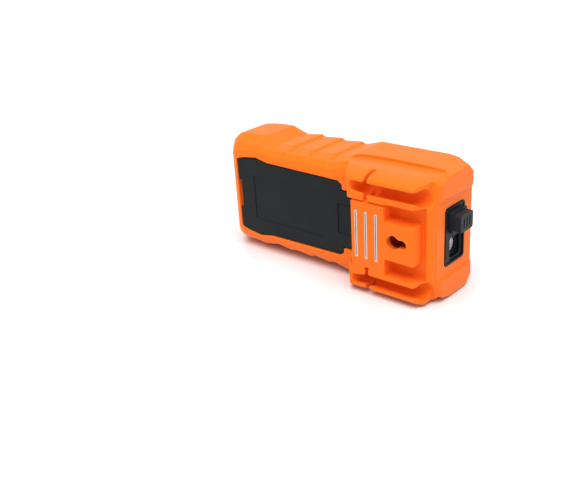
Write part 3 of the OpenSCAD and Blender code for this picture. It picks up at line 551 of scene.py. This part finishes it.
class Growth(Nodes):
    """A Geometry Nodes tree being made, with named inputs for its sizes."""

    def __init__(self, name, **sizes):
        self.tree = bpy.data.node_groups.new(name, "GeometryNodeTree")
        super().__init__(self.tree)
        face = self.tree.interface
        for label, value in sizes.items():
            kind = {int: "Int", float: "Float"}[type(value)]
            face.new_socket(label, socket_type="NodeSocket" + kind).default_value = value
        face.new_socket("Centre", socket_type="NodeSocketVector")
        face.new_socket("Material", socket_type="NodeSocketMaterial")
        face.new_socket("Geometry", in_out="OUTPUT", socket_type="NodeSocketGeometry")
        self.inputs = self.nodes.new("NodeGroupInput").outputs

    def point(self, x=0.0, y=0.0, z=0.0):
        return self.add("ShaderNodeCombineXYZ", {"X": x, "Y": y, "Z": z})

    def rectangle(self, width, height):
        """A rectangle whose sides two of the tree's inputs give."""
        feeds = {"Width": self.inputs[width], "Height": self.inputs[height]}
        return self.add("GeometryNodeCurvePrimitiveQuadrilateral", feeds)

    def swept(self, curve):
        """A curve swept with the flat section that Width and Depth give."""
        feeds = {"Curve": curve, "Profile Curve": self.rectangle("Width", "Depth")}
        return self.add("GeometryNodeCurveToMesh", feeds)

    def repeated(self, points, part, **feeds):
        """A part put on points."""
        feeds.update(Points=points, Instance=part)
        return self.add("GeometryNodeInstanceOnPoints", feeds)

    def done(self, geometry):
        """Lays what was drawn flat on the front, at its centre."""
        feeds = {"Geometry": geometry, "Translation": self.inputs["Centre"]}
        feeds["Rotation"] = (-math.pi / 2, 0, 0)
        laid = self.add("GeometryNodeTransform", feeds)
        real = self.add("GeometryNodeRealizeInstances", {"Geometry": laid})
        feeds = {"Geometry": real, "Material": self.inputs["Material"]}
        finished = self.add("GeometryNodeSetMaterial", feeds)
        self.add("NodeGroupOutput", {"Geometry": finished})
        return self.tree


def mark_ring():
    """Flat marks in a ring, each pointing at the middle."""
    g = Growth("mark_ring", Count=24, Radius=0.024, Length=0.0014, Width=0.0004, Depth=0.0001)
    feeds = {"Vertices": g.inputs["Count"], "Radius": g.inputs["Radius"]}
    ring = g.add("GeometryNodeMeshCircle", feeds)
    size = g.point(g.inputs["Length"], g.inputs["Width"], g.inputs["Depth"])
    mark = g.add("GeometryNodeMeshCube", {"Size": size})
    part = g.maths("DIVIDE", 2 * math.pi, g.inputs["Count"])
    turn = g.maths("MULTIPLY", g.add("GeometryNodeInputIndex"), part)
    return g.done(g.repeated(ring, mark, Rotation=g.point(z=turn)))


def collar_row():
    """A row of flat rings, one round each jack."""
    g = Growth("collar_row", Count=4, Pitch=0.019, Radius=0.0063, Width=0.0014, Depth=0.0001)
    feeds = {"Resolution": 48, "Radius": g.inputs["Radius"]}
    collar = g.swept(g.add("GeometryNodeCurvePrimitiveCircle", feeds))
    feeds = {"Count": g.inputs["Count"], "Offset": g.point(y=g.inputs["Pitch"])}
    return g.done(g.repeated(g.add("GeometryNodeMeshLine", feeds), collar))


def border_line():
    """A thin line round a panel, with rounded corners."""
    section = {"Width": 0.0005, "Depth": 0.0001}
    g = Growth("border_line", Length=0.06, Across=0.07, Corner=0.003, **section)
    feeds = {"Curve": g.rectangle("Length", "Across"), "Count": 6, "Radius": g.inputs["Corner"]}
    return g.done(g.swept(g.add("GeometryNodeFilletCurve", feeds, mode="POLY")))


def as_print(name, mesh, material):
    """A printed mark on the front becomes a piece."""
    mesh.name = name
    as_piece(name, mesh, "tester", material)


def grow(name, tree, centre, material, **sizes):
    """Runs a Geometry Nodes tree with its inputs set, and keeps the mesh as a print."""
    values = dict(sizes, Centre=centre, Material=material)
    work = work_object(bpy.data.meshes.new(name))
    run = work.modifiers.new("grow", "NODES")
    run.node_group = tree
    for item in tree.interface.items_tree:
        if item.item_type == "SOCKET" and item.in_out == "INPUT" and item.name in values:
            run[item.identifier] = values[item.name]
    as_print(name, taken(work), material)


def on_front(node):
    """Middle of a print over a node's middle, flat on the face plate."""
    place = middle(node)
    place.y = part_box("face_plate")[1].y + PRINT_T / 2
    return place


def number(name, text, size, centre, material):
    """A dial's number printed on the front, upright with the display on top."""
    curve = bpy.data.curves.new(name, "FONT")
    curve.body = text
    curve.size = size
    curve.align_x = "CENTER"
    curve.align_y = "CENTER"
    curve.extrude = PRINT_T / 2
    work = work_object(curve)
    mesh = settled(work)
    bpy.data.objects.remove(work)
    turn = Matrix(((0, 1, 0), (0, 0, 1), (1, 0, 0))).to_4x4()
    mesh.transform(Matrix.Translation(centre) @ turn)
    as_print(name, mesh, material)


# ---------------------------------------------------------------- settings


def colour_property(name, description, default):
    """A setting for a colour."""
    return FloatVectorProperty(
        name=name,
        description=description,
        subtype="COLOR",
        size=3,
        min=0,
        max=1,
        default=default,
    )


class TesterSettings(bpy.types.PropertyGroup):
    """Sizes and colours of the tester's finishes."""

    boot_colour: colour_property(
        "Boot colour", "Colour of the moulded boot", (0.98, 0.168, 0.008)
    )
    plastic_colour: colour_property(
        "Plastic colour",
        "Colour of the kickstand, the bezel and the case",
        (0.0095, 0.0115, 0.013),
    )
    face_colour: colour_property(
        "Face colour", "Colour of the face plate", (0.03, 0.032, 0.036)
    )
    ink_colour: colour_property(
        "Ink colour", "Colour of the marks round the selector", (0.82, 0.82, 0.8)
    )
    skin_step: FloatProperty(
        name="Skin step",
        description="Size of the cells that the boot's skin is rounded with",
        unit="LENGTH",
        min=0.0003,
        max=0.002,
        precision=4,
        default=0.00052,
    )
    skin_rounds: IntProperty(
        name="Skin rounds",
        description="How often the boot's skin is smoothed",
        min=0,
        max=40,
        default=8,
    )
    edge_radius: FloatProperty(
        name="Edge radius",
        description="Radius of the eased edges of the hard plastic pieces",
        unit="LENGTH",
        min=0.0001,
        max=0.001,
        precision=4,
        default=0.0004,
    )
    mark_count: IntProperty(
        name="Dial marks",
        description="Number of marks round the selector",
        min=6,
        max=48,
        default=24,
    )


# --------------------------------------------------------------- boot head

# Sizes of the boot's head in mm, from the middle of the boot: x towards the top end,
# y towards the display, z across the width.
TOP_X = 101.5
BUMPER_X = TOP_X + 1.7
HALF_W = 47.0
HEAD_Y = -41.0
BACK_Y = -26.0
HOLDER_X = TOP_X - 64
COVER_X = HOLDER_X - 15.5
HOLDER_END_X = TOP_X - 4.5
SLOPE_X = TOP_X - 10
HOLDER_Z = 34.5
SLOT_Z = HOLDER_Z + 0.6
PROBE_R = 6.5
SLOT_W = 8.5
HOLDER_Y = HEAD_Y + PROBE_R + 1.5
PANEL_X = TOP_X - 61.4
PANEL_HW = 24.0
BLOCK_X = PANEL_X + 28
BLOCK_END_X = BLOCK_X + 24.1
BLOCK_HW = 14.3
RIM_X = TOP_X - 4.3
RIM_LOW_Z = 27.0
FLEX_X = PANEL_X + 12.4
FLEX_CUT = 3.2

# Outer surface of a probe holder, from its lip round to the groove beside it.
COVER_LINE = [
    (HEAD_Y, HALF_W - 7.4),
    (HEAD_Y + 0.7, HALF_W - 5.4),
    (HEAD_Y + 2.4, HALF_W - 3.9),
    (HEAD_Y + 5, HALF_W - 2.8),
    (HEAD_Y + 9, HALF_W - 1.9),
    (HEAD_Y + 14, HALF_W - 1.4),
    (HEAD_Y + 19, HALF_W - 1.5),
    (HEAD_Y + 24, HALF_W - 2.1),
    (HEAD_Y + 29.5, HALF_W - 2.8),
    (HEAD_Y + 36, HALF_W - 2.8),
]


def holder_fill():
    """Solid of one probe holder, with its fairing towards the waist."""
    inside = [
        (HEAD_Y + 36, HALF_W - 3.6),
        (BACK_Y + 6, 33.5),
        (BACK_Y + 5, 26),
        (HEAD_Y, 26),
    ]
    section = prism("x", COVER_LINE + inside, COVER_X, TOP_X)
    profile = [
        (HOLDER_X, HEAD_Y),
        (SLOPE_X, HEAD_Y),
        (TOP_X - 0.5, HEAD_Y + 13.5),
        (TOP_X - 0.5, HEAD_Y + 37),
        (COVER_X, HEAD_Y + 37),
        (COVER_X, HEAD_Y + 26),
        (HOLDER_X - 9, BACK_Y),
        (HOLDER_X - 6, HEAD_Y + 9),
        (HOLDER_X - 3, HEAD_Y + 4),
    ]
    plan = [
        (COVER_X - 1, HALF_W + 1),
        (TOP_X - 13, HALF_W),
        (TOP_X - 3, HALF_W - 3),
        (TOP_X, HALF_W - 5.5),
        (TOP_X, 20),
        (COVER_X - 1, 20),
    ]
    side = prism("z", profile, 20, HALF_W + 2)
    return crossed(section, side, prism("y", plan, HEAD_Y - 1, HEAD_Y + 40))


def probe_channel():
    """Bore and slot of one probe holder. They run out at the top end."""
    circle = arc((HOLDER_Y, HOLDER_Z), PROBE_R, 0, 40, 40)
    bore = prism("x", circle, HOLDER_X, HOLDER_END_X + 0.5)
    slot = [
        (HOLDER_X, SLOT_Z - SLOT_W / 2 + 2.4),
        (FLEX_X, SLOT_Z - SLOT_W / 2),
        (HOLDER_END_X + 0.5, SLOT_Z - SLOT_W / 2),
        (HOLDER_END_X + 0.5, SLOT_Z + SLOT_W / 2),
        (HOLDER_X, SLOT_Z + SLOT_W / 2),
    ]
    ramp = [
        (HOLDER_X + 1, HEAD_Y - 2),
        (BUMPER_X, HEAD_Y - 2),
        (BUMPER_X, BACK_Y + 3),
        (HOLDER_X + 9.5, BACK_Y + 3),
    ]
    work = work_object(bore)
    carve(work, prism("y", slot, HEAD_Y - 1, HOLDER_Y), "UNION")
    carve(work, prism("z", ramp, PANEL_HW, HALF_W), "INTERSECT")
    return taken(work)


def flex_cut():
    """Cut across a probe holder that lets its lips bend."""
    low, high = FLEX_X - FLEX_CUT / 2, FLEX_X + FLEX_CUT / 2
    outline = [(low, PANEL_HW + 1), (high, PANEL_HW + 1), (high, HALF_W), (low, HALF_W)]
    return prism("y", outline, HEAD_Y - 1, BACK_Y - 1.2)


def holder_groove():
    """Groove beside a holder, under the square edge of the flat side."""
    section = [(HEAD_Y - 1, HALF_W + 1), (HEAD_Y - 1, HALF_W - 7.4)]
    section += COVER_LINE + [(HEAD_Y + 36, HALF_W + 1)]
    plan = [
        (COVER_X, HEAD_Y - 1),
        (COVER_X, HEAD_Y + 26),
        (COVER_X + 1.5, HEAD_Y + 30),
        (COVER_X + 4, HEAD_Y + 32.5),
        (COVER_X + 11, HEAD_Y + 34.3),
        (COVER_X + 30, HEAD_Y + 35.3),
        (HOLDER_END_X, HEAD_Y + 34.6),
        (HOLDER_END_X, HEAD_Y - 1),
    ]
    return crossed(
        prism("x", section, COVER_X, HOLDER_END_X),
        prism("z", plan, HALF_W - 8, HALF_W + 1.2),
    )


def rim_low_end():
    """The end rim lies lower behind a holder, so a probe's tip passes over it."""
    section = [
        (HEAD_Y - 1, RIM_LOW_Z - 0.5),
        (HEAD_Y + 9.5, RIM_LOW_Z - 0.5),
        (HEAD_Y + 12.5, RIM_LOW_Z + 3.5),
        (HEAD_Y + 14.8, RIM_LOW_Z + 10),
        (HEAD_Y + 16, RIM_LOW_Z + 15),
        (HEAD_Y + 17.5, HALF_W + 3),
        (HEAD_Y - 1, HALF_W + 3),
    ]
    return prism("x", section, HOLDER_END_X, BUMPER_X + 1)


def panel_groove():
    """Narrow groove between the magnet panel and a holder."""
    low, high = PANEL_X - 1, BLOCK_X + 1
    outline = [(low, PANEL_HW + 0.8), (high, PANEL_HW + 0.8)]
    outline += [(high, PANEL_HW + 2.1), (low, PANEL_HW + 2.1)]
    return prism("y", outline, HEAD_Y - 1, HEAD_Y + 2.6)


def head_pocket():
    """Pockets on both sides of the keyhole block and behind it, as one U."""
    outline = [
        (BLOCK_X, -RIM_LOW_Z),
        (RIM_X, -RIM_LOW_Z),
        (RIM_X, RIM_LOW_Z),
        (BLOCK_X, RIM_LOW_Z),
        (BLOCK_X, BLOCK_HW),
        (BLOCK_END_X, BLOCK_HW),
        (BLOCK_END_X, -BLOCK_HW),
        (BLOCK_X, -BLOCK_HW),
    ]
    return prism("y", outline, HEAD_Y - 1, BACK_Y - 3)


def end_slope():
    """What the head and the corner bumpers lose towards the top end."""
    outline = [
        (SLOPE_X, HEAD_Y - 1),
        (SLOPE_X, HEAD_Y),
        (HOLDER_END_X, HEAD_Y + 8.2),
        (TOP_X - 1.5, HEAD_Y + 10.8),
        (TOP_X, HEAD_Y + 13.5),
        (BUMPER_X, HEAD_Y + 20),
        (BUMPER_X + 1, HEAD_Y + 20),
        (BUMPER_X + 1, HEAD_Y - 1),
    ]
    return prism("z", outline, -HALF_W - 1, HALF_W + 1)


def shape_head(work):
    """Gives the boot's head its holders, grooves, pockets and sloped end."""
    for make, operation in (
        (holder_fill, "UNION"),
        (probe_channel, "DIFFERENCE"),
        (flex_cut, "DIFFERENCE"),
        (holder_groove, "DIFFERENCE"),
        (rim_low_end, "DIFFERENCE"),
        (panel_groove, "DIFFERENCE"),
    ):
        tool = make()
        other = mirrored(tool)
        carve(work, tool, operation)
        carve(work, other, operation)
    carve(work, head_pocket())
    carve(work, end_slope())


# --------------------------------------------------------------- operators


class TESTER_OT_boot(bpy.types.Operator):
    """Rounds every moulded edge of the boot and gives it its elastomer finish"""

    bl_idname = "tester.boot"
    bl_label = "Boot"

    def execute(self, context):
        s = context.scene.tester
        work = work_object(merged_copy("protective_boot"))
        shape_head(work)
        skin = work.modifiers.new("skin", "REMESH")
        skin.mode = "VOXEL"
        skin.voxel_size = s.skin_step * 1
        smooth = work.modifiers.new("smooth", "SMOOTH")
        smooth.factor = 0.5
        smooth.iterations = s.skin_rounds // 1
        work.data = settled(work)
        triangles = sum(len(p.vertices) - 2 for p in work.data.polygons)
        thin = work.modifiers.new("thin", "DECIMATE")
        thin.ratio = min(1.0, SKIN_TRIANGLES / triangles)
        mesh = taken(work)
        mesh.name = "boot_skin"
        smooth_faces(mesh)
        boot = as_piece("boot_skin", mesh, "tester", boot_elastomer(s.boot_colour))
        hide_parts("protective_boot")
        return {"FINISHED"}


class TESTER_OT_stand(bpy.types.Operator):
    """Eases the kickstand's edges and gives it its textured plastic"""

    bl_idname = "tester.stand"
    bl_label = "Kickstand"

    def execute(self, context):
        s = context.scene.tester
        plastic = textured_plastic("stand_plastic", s.plastic_colour)
        eased("kickstand", "stand", plastic, s.edge_radius)
        paint_nodes(plated_metal("hinge_pin_steel", (0.55, 0.56, 0.58)), "kickstand_pins")
        return {"FINISHED"}


# Width of a magnet bar, and its groove, in mm.
MAGNET_W = 2.4
GROOVE_W = 0.8
GROOVE_L = 34.6


class TESTER_OT_magnets(bpy.types.Operator):
    """Rounds the magnet bars and gives them their plated finish"""

    bl_idname = "tester.magnets"
    bl_label = "Magnet bars"

    def execute(self, context):
        plating = brushed_metal("magnet_plating", (0.66, 0.63, 0.61), 0.3)
        low, high = drawn_box("magnet_bars")
        first = low[0] + MAGNET_W / 2
        pitch = (high[0] - low[0] - MAGNET_W) / 2
        face = low[1]
        grooves = []
        cores = work_object(bpy.data.meshes.new("magnet_cores"))
        for i in range(3):
            centre = (first + i * pitch - 0.15, 0)
            groove = box_outline(centre, GROOVE_W, GROOVE_L, 0.3)
            grooves.append(prism("y", groove, face - 1, face + 0.6))
            core = box_outline(centre, GROOVE_W - 0.02, GROOVE_L - 0.1, 0.3)
            carve(cores, prism("y", core, face + 0.3, face + 0.62), "UNION")
        eased("magnet_bars", "tester", plating, 0.0002, grooves)
        ferrite = glazed("magnet_ferrite", (0.16, 0.13, 0.12), 0.4)
        as_piece("magnet_cores", taken(cores), "tester", ferrite)
        return {"FINISHED"}


# The torch's recess in the end bezel, in mm: its middle, width, height and corners.
RECESS = (-0.5, -10.6)
RECESS_W = 17.9
RECESS_H = 18.9
RECESS_R = 2.9
# Slots of the sensor nose in mm: distance, half width, half height and corners.
NOSE_PITCH = 3.8
NOSE_HW = 0.65
NOSE_HH = 3.5
NOSE_CUT = 0.35


def end_face(node):
    """A top end piece's middle (y, z), its width and height, and its end's level x."""
    low, high = drawn_box(node)
    centre = [(low[i] + high[i]) / 2 for i in (1, 2)]
    return centre, high[1] - low[1], high[2] - low[2], high[0]


def bezel_field():
    """The sunk field of the end bezel, inside its raised rim."""
    centre, wide, tall, end = end_face("end_bezel")
    return prism("x", box_outline(centre, wide - 2.6, tall - 2.6, 1.4), end - 0.5, end + 1)


def torch_step():
    """The step inside the torch's recess, seated on the recess's walls."""
    end = end_face("end_bezel")[3]
    outer = box_outline(RECESS, RECESS_W, RECESS_H, RECESS_R)
    inner = box_outline(RECESS, RECESS_W - 3.1, RECESS_H - 3.1, RECESS_R + 0.5)
    step = work_object(prism("x", outer, end - 3.4, end - 1.5))
    carve(step, prism("x", inner, end - 4, end))
    rounding = step.modifiers.new("edges", "BEVEL")
    rounding.width = 0.0004
    rounding.segments = 3
    rounding.limit_method = "ANGLE"
    return taken(step)


def nose_slots():
    """Three slots in the end of the sensor nose."""
    (y, z), _, _, end = end_face("sensor_nose")
    side, half = NOSE_HW, NOSE_HH - NOSE_CUT
    outline = [(-side, -half), (-NOSE_CUT, -NOSE_HH), (NOSE_CUT, -NOSE_HH), (side, -half)]
    outline += [(side, half), (NOSE_CUT, NOSE_HH), (-NOSE_CUT, NOSE_HH), (-side, half)]
    slots = []
    for k in (-1, 0, 1):
        placed = [(y + NOSE_PITCH * k + a, z + b) for a, b in outline]
        slots.append(prism("x", placed, end - 0.9, end + 1))
    return slots


class TESTER_OT_top_end(bpy.types.Operator):
    """Finishes the end bezel, the sensor nose and the torch"""

    bl_idname = "tester.top_end"
    bl_label = "Top end"

    def execute(self, context):
        s = context.scene.tester
        colour, width, slot = s.plastic_colour, s.edge_radius, "stand_plastic"
        plastic = textured_plastic("bezel_plastic", colour, 0.42, 0.0003, 0.00003)
        eased("end_bezel", "tester", plastic, width * 0.7, [bezel_field()])
        gloss = textured_plastic("torch_plastic", shade(colour, 2.2), 0.3, 0.0003, 0.00001)
        as_piece("torch_surround", torch_step(), "tester", gloss)
        nose = textured_plastic("nose_plastic", shade(colour, 1.9), 0.45, 0.0003, 0.00003)
        eased("sensor_nose", "tester", nose, width * 0.9, nose_slots(), 0.0011)
        paint_nodes(mirror_metal("torch_mirror", (0.96, 0.96, 0.97)), "torch_reflector")
        paint_nodes(clear_resin((0.93, 0.93, 0.85)), "torch_led")
        return {"FINISHED"}


class TESTER_OT_face(bpy.types.Operator):
    """Finishes the face plate, the window and the display behind it"""

    bl_idname = "tester.face"
    bl_label = "Face and display"

    def execute(self, context):
        s = context.scene.tester
        paint_nodes(satin_film("face_film", s.face_colour), "face_plate")
        paint_nodes(clear_window((0.93, 0.95, 0.95)), "display_window")
        paint_nodes(display_glass((0.36, 0.4, 0.34)), "lcd_panel")
        low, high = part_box("display_window")
        margin = 0.0035
        grow(
            "display_border",
            border_line(),
            on_front("display_window"),
            printed_ink("border_ink", (0.2, 0.21, 0.22)),
            Length=high.x - low.x + margin,
            Across=high.z - low.z + margin * 0.8,
            Corner=0.0045,
            Width=0.0006,
            Depth=PRINT_T,
        )
        return {"FINISHED"}


class TESTER_OT_keys(bpy.types.Operator):
    """Eases the six keys and gives them their silicone finish"""

    bl_idname = "tester.keys"
    bl_label = "Keys"

    def execute(self, context):
        grey = soft_rubber("key_silicone", (0.13, 0.14, 0.15))
        for i in range(1, 7):
            eased(f"key_{i}", f"button_{i}", grey, 0.0005)
        return {"FINISHED"}


# The dial: its stops, where its marks start and the middle of its numbers.
DIAL_STOPS = 8
DIAL_R = 0.0233
NUMBER_R = 0.0271
# The knob's pointer in mm, from the knob's edge inwards: its ends and half its width.
POINTER_IN = 8.9
POINTER_OUT = 3.6
POINTER_HW = 0.6


class TESTER_OT_selector(bpy.types.Operator):
    """Eases the selector knob and prints the marks of its dial"""

    bl_idname = "tester.selector"
    bl_label = "Selector"

    def execute(self, context):
        s = context.scene.tester
        plastic = textured_plastic("knob_plastic", (0.018, 0.019, 0.021), 0.44, 0.0003)
        eased("selector_knob", "selector", plastic, 0.0004)
        paint_nodes(glazed("rotor_acetal", (0.78, 0.78, 0.75), 0.35), "selector_rotor")
        paint_nodes(plated_metal("wiper_brass", (0.78, 0.56, 0.24)), "rotor_wipers")
        steel = plated_metal("detent_steel", (0.62, 0.63, 0.65), 0.18)
        paint_nodes(steel, "detent_balls", "detent_springs")
        ink = printed_ink("dial_ink", s.ink_colour)
        tree = mark_ring()
        centre = on_front("selector_knob")
        for name, count, length, width in (
            ("dial_fine_marks", s.mark_count, 0.0012, 0.0003),
            ("dial_marks", DIAL_STOPS, 0.0022, 0.0005),
        ):
            sizes = dict(Length=length, Width=width, Depth=PRINT_T)
            grow(name, tree, centre, ink, Count=count, Radius=DIAL_R + length / 2, **sizes)
        for i in range(DIAL_STOPS):
            turn = 2 * math.pi * i / DIAL_STOPS
            spot = centre + Vector((math.cos(turn), 0, math.sin(turn))) * NUMBER_R
            label, size = (str(i), 0.0027) if i else ("OFF", 0.0021)
            number(f"dial_number_{i}", label, size, spot, ink)
        edge, top, _ = drawn_box("selector_knob")[1]
        start, stop, half = edge - POINTER_IN, edge - POINTER_OUT, POINTER_HW
        outline = [(start, -half), (stop, -half), (stop, half), (start, half)]
        inlay = prism("y", outline, top - 0.6, top - 0.12)
        as_piece("pointer_inlay", inlay, "selector", ink)
        return {"FINISHED"}


# The printed ring round a jack.
COLLAR_R = 0.0063
COLLAR_W = 0.0014


class TESTER_OT_jacks(bpy.types.Operator):
    """Finishes the four input jacks and the coloured rings round them"""

    bl_idname = "tester.jacks"
    bl_label = "Input jacks"

    def execute(self, context):
        brass = plated_metal("jack_brass", (0.8, 0.58, 0.26), 0.22)
        paint_nodes(brass, *[f"input_sleeve_{i}" for i in range(1, 5)])
        tree = collar_row()
        red = printed_ink("live_red", (0.62, 0.02, 0.015))
        grey = printed_ink("return_grey", (0.3, 0.31, 0.32))
        first = on_front("input_sleeve_1")
        last = on_front("input_sleeve_4")
        # A sleeve's tag reaches past its round part, so its height gives the middle.
        low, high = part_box("input_sleeve_1")
        first.x = last.x = low.x + (high.z - low.z) / 2
        pitch = (last.z - first.z) / 3
        sizes = dict(Pitch=pitch, Radius=COLLAR_R, Width=COLLAR_W, Depth=PRINT_T)
        grow("live_collars", tree, last, red, Count=3, **sizes)
        grow("return_collar", tree, first, grey, Count=1, **sizes)
        return {"FINISHED"}


class TESTER_OT_case(bpy.types.Operator):
    """Finishes the two case halves, the battery door and their screws"""

    bl_idname = "tester.case"
    bl_label = "Case"

    def execute(self, context):
        s = context.scene.tester
        plastic = textured_plastic("case_plastic", s.plastic_colour, 0.55)
        paint_nodes(plastic, "rear_case", "front_case", "battery_door")
        zinc = plated_metal("screw_zinc", (0.6, 0.61, 0.63))
        paint_nodes(zinc, "case_screws", "battery_door_screws", "board_screws")
        return {"FINISHED"}


class TESTER_OT_inside(bpy.types.Operator):
    """Finishes the batteries, the circuit board and what it carries"""

    bl_idname = "tester.inside"
    bl_label = "Inner pieces"

    def execute(self, context):
        nickel = plated_metal("contact_nickel", (0.66, 0.65, 0.62))
        paint_nodes(nickel, "battery_springs", "battery_plates", "fuse_clips")
        paint_nodes(cell_sleeve((0.1, 0.13, 0.18)), "battery_cells", "capacitors")
        paint_nodes(solder_resist((0.014, 0.11, 0.05)), "circuit_board", "torch_board")
        moulded = textured_plastic("chip_plastic", (0.02, 0.02, 0.022), 0.6, 0.0002)
        paint_nodes(moulded, "main_chip", "buzzer")
        paint_nodes(glazed("fuse_ceramic", (0.8, 0.77, 0.7)), "fuses")
        paint_nodes(glazed("frame_moulding", (0.75, 0.75, 0.73), 0.4), "lcd_frame")
        paint_nodes(soft_rubber("mat_silicone", (0.1, 0.1, 0.11)), "keypad_mat")
        paint_nodes(soft_rubber("zebra_silicone", (0.5, 0.35, 0.4)), "lcd_connectors")
        copper = plated_metal("shunt_copper", (0.78, 0.42, 0.26))
        paint_nodes(copper, "current_shunt", "sensor_antenna")
        return {"FINISHED"}


class TESTER_OT_stage(bpy.types.Operator):
    """Sets up the camera, the soft lights and the pale floor"""

    bl_idname = "tester.stage"
    bl_label = "Stage"

    def execute(self, context):
        scene = context.scene
        add_camera(scene)
        add_lights(scene)
        add_floor(scene)
        scene.view_settings.view_transform = "Standard"
        return {"FINISHED"}


# -------------------------------------------------------------------- stage


# The camera's turn round the tester, its height and its roll in degrees, and its place.
CAMERA_TURNS = (42.57, 24.44, -3.77)
CAMERA_PLACE = (0.36225, -0.4527, 0.2768)
# What the lamps point at.
AIM = Vector((0, 0, 0.05))
FLOOR_REACH = 6


def add_object(scene, name, data):
    obj = bpy.data.objects.new(name, data)
    scene.collection.objects.link(obj)
    return obj


def add_camera(scene):
    """Looks at the tester's back from the top end's side and a little above."""
    turn, rise, roll = (math.radians(a) for a in CAMERA_TURNS)
    back = Vector(
        (math.sin(turn) * math.cos(rise), -math.cos(turn) * math.cos(rise), math.sin(rise))
    )
    right = (-back).cross(Vector((0, 0, 1))).normalized()
    up = right.cross(-back)
    across = right * math.cos(roll) + up * math.sin(roll)
    upward = up * math.cos(roll) - right * math.sin(roll)
    data = bpy.data.cameras.new("camera")
    data.lens = 50.02
    data.sensor_width = 36
    camera = add_object(scene, "camera", data)
    matrix = Matrix((across, upward, back)).transposed().to_4x4()
    matrix.translation = CAMERA_PLACE
    camera.matrix_world = matrix
    scene.camera = camera


def add_sky(scene, strength, spread):
    """An even overhead light without fall-off, as from a wide studio ceiling."""
    data = bpy.data.lights.new("studio_ceiling", "SUN")
    data.energy = strength
    data.angle = math.radians(spread)
    lamp = add_object(scene, "studio_ceiling", data)
    lamp.rotation_euler = (math.radians(12), math.radians(8), 0)


def add_lamp(scene, name, place, size, power):
    """A soft square lamp that points at the tester."""
    data = bpy.data.lights.new(name, "AREA")
    data.shape = "SQUARE"
    data.size = size
    data.energy = power
    lamp = add_object(scene, name, data)
    lamp.location = place
    lamp.rotation_euler = (AIM - Vector(place)).to_track_quat("-Z", "Y").to_euler()


def emptied(block):
    """The tree of a new world or material, without its first nodes."""
    block.use_nodes = True
    block.node_tree.nodes.clear()
    return Nodes(block.node_tree)


def seen_share(tree):
    """1 for rays from the camera, mirrors and glass, 0 for light on the object."""
    path = tree.add("ShaderNodeLightPath").node.outputs
    share = path["Is Camera Ray"]
    for kind in ("Is Glossy Ray", "Is Transmission Ray"):
        share = tree.maths("MAXIMUM", share, path[kind])
    return share


def add_lights(scene):
    add_sky(scene, 3.45, 62)
    add_lamp(scene, "front_fill", (-0.5, -1.2, 0.5), 0.9, 1.0)
    add_lamp(scene, "end_fill", (1.2, -0.2, 0.45), 0.8, 1.0)
    scene.world = bpy.data.worlds.new("studio")
    tree = emptied(scene.world)
    light, seen = (
        tree.add("ShaderNodeBackground", {"Color": (1, 1, 1), "Strength": strength})
        for strength in (0.4, 1.0)
    )
    mix = tree.add("ShaderNodeMixShader", {"Fac": seen_share(tree), 1: light, 2: seen})
    tree.add("ShaderNodeOutputWorld", {"Surface": mix})


def add_floor(scene):
    """A pale, faintly glossy floor that keeps the tester's shadow."""
    mesh = bpy.data.meshes.new("floor")
    turns = ((-1, -1), (1, -1), (1, 1), (-1, 1))
    points = [(x * FLOOR_REACH, y * FLOOR_REACH, 0) for x, y in turns]
    mesh.from_pydata(points, [], [(0, 1, 2, 3)])
    floor = add_object(scene, "floor", mesh)
    material = bpy.data.materials.new("pale_floor")
    tree = emptied(material)
    feeds = {"Base Color": (0.84, 0.84, 0.84), "Roughness": 0.28, "Specular IOR Level": 0.45}
    paper = tree.add("ShaderNodeBsdfPrincipled", feeds)
    tree.add("ShaderNodeOutputMaterial", {"Surface": paper})
    mesh.materials.append(material)


# -------------------------------------------------------------------- panel

STEPS = (
    TESTER_OT_stage,
    TESTER_OT_boot,
    TESTER_OT_stand,
    TESTER_OT_magnets,
    TESTER_OT_top_end,
    TESTER_OT_face,
    TESTER_OT_keys,
    TESTER_OT_selector,
    TESTER_OT_jacks,
    TESTER_OT_case,
    TESTER_OT_inside,
)


class TESTER_PT_panel(bpy.types.Panel):
    """Lists the tester's settings and pieces"""

    bl_idname = "TESTER_PT_panel"
    bl_label = "Component Tester"
    bl_space_type = "VIEW_3D"
    bl_region_type = "UI"
    bl_category = "Tester"

    def draw(self, context):
        column = self.layout.column()
        for name in TesterSettings.__annotations__:
            column.prop(context.scene.tester, name)
        for step in STEPS:
            column.operator(step.bl_idname)


def register():
    for cls in (TesterSettings, *STEPS, TESTER_PT_panel):
        bpy.utils.register_class(cls)
    bpy.types.Scene.tester = PointerProperty(type=TesterSettings)


def unregister():
    del bpy.types.Scene.tester
    for cls in reversed((TesterSettings, *STEPS, TESTER_PT_panel)):
        bpy.utils.unregister_class(cls)


def main():
    register()
    bpy.ops.tester.stage()
    bpy.ops.tester.boot()
    bpy.ops.tester.stand()
    bpy.ops.tester.magnets()
    bpy.ops.tester.top_end()
    bpy.ops.tester.face()
    bpy.ops.tester.keys()
    bpy.ops.tester.selector()
    bpy.ops.tester.jacks()
    bpy.ops.tester.case()
    bpy.ops.tester.inside()


if __name__ == "__main__":
    main()
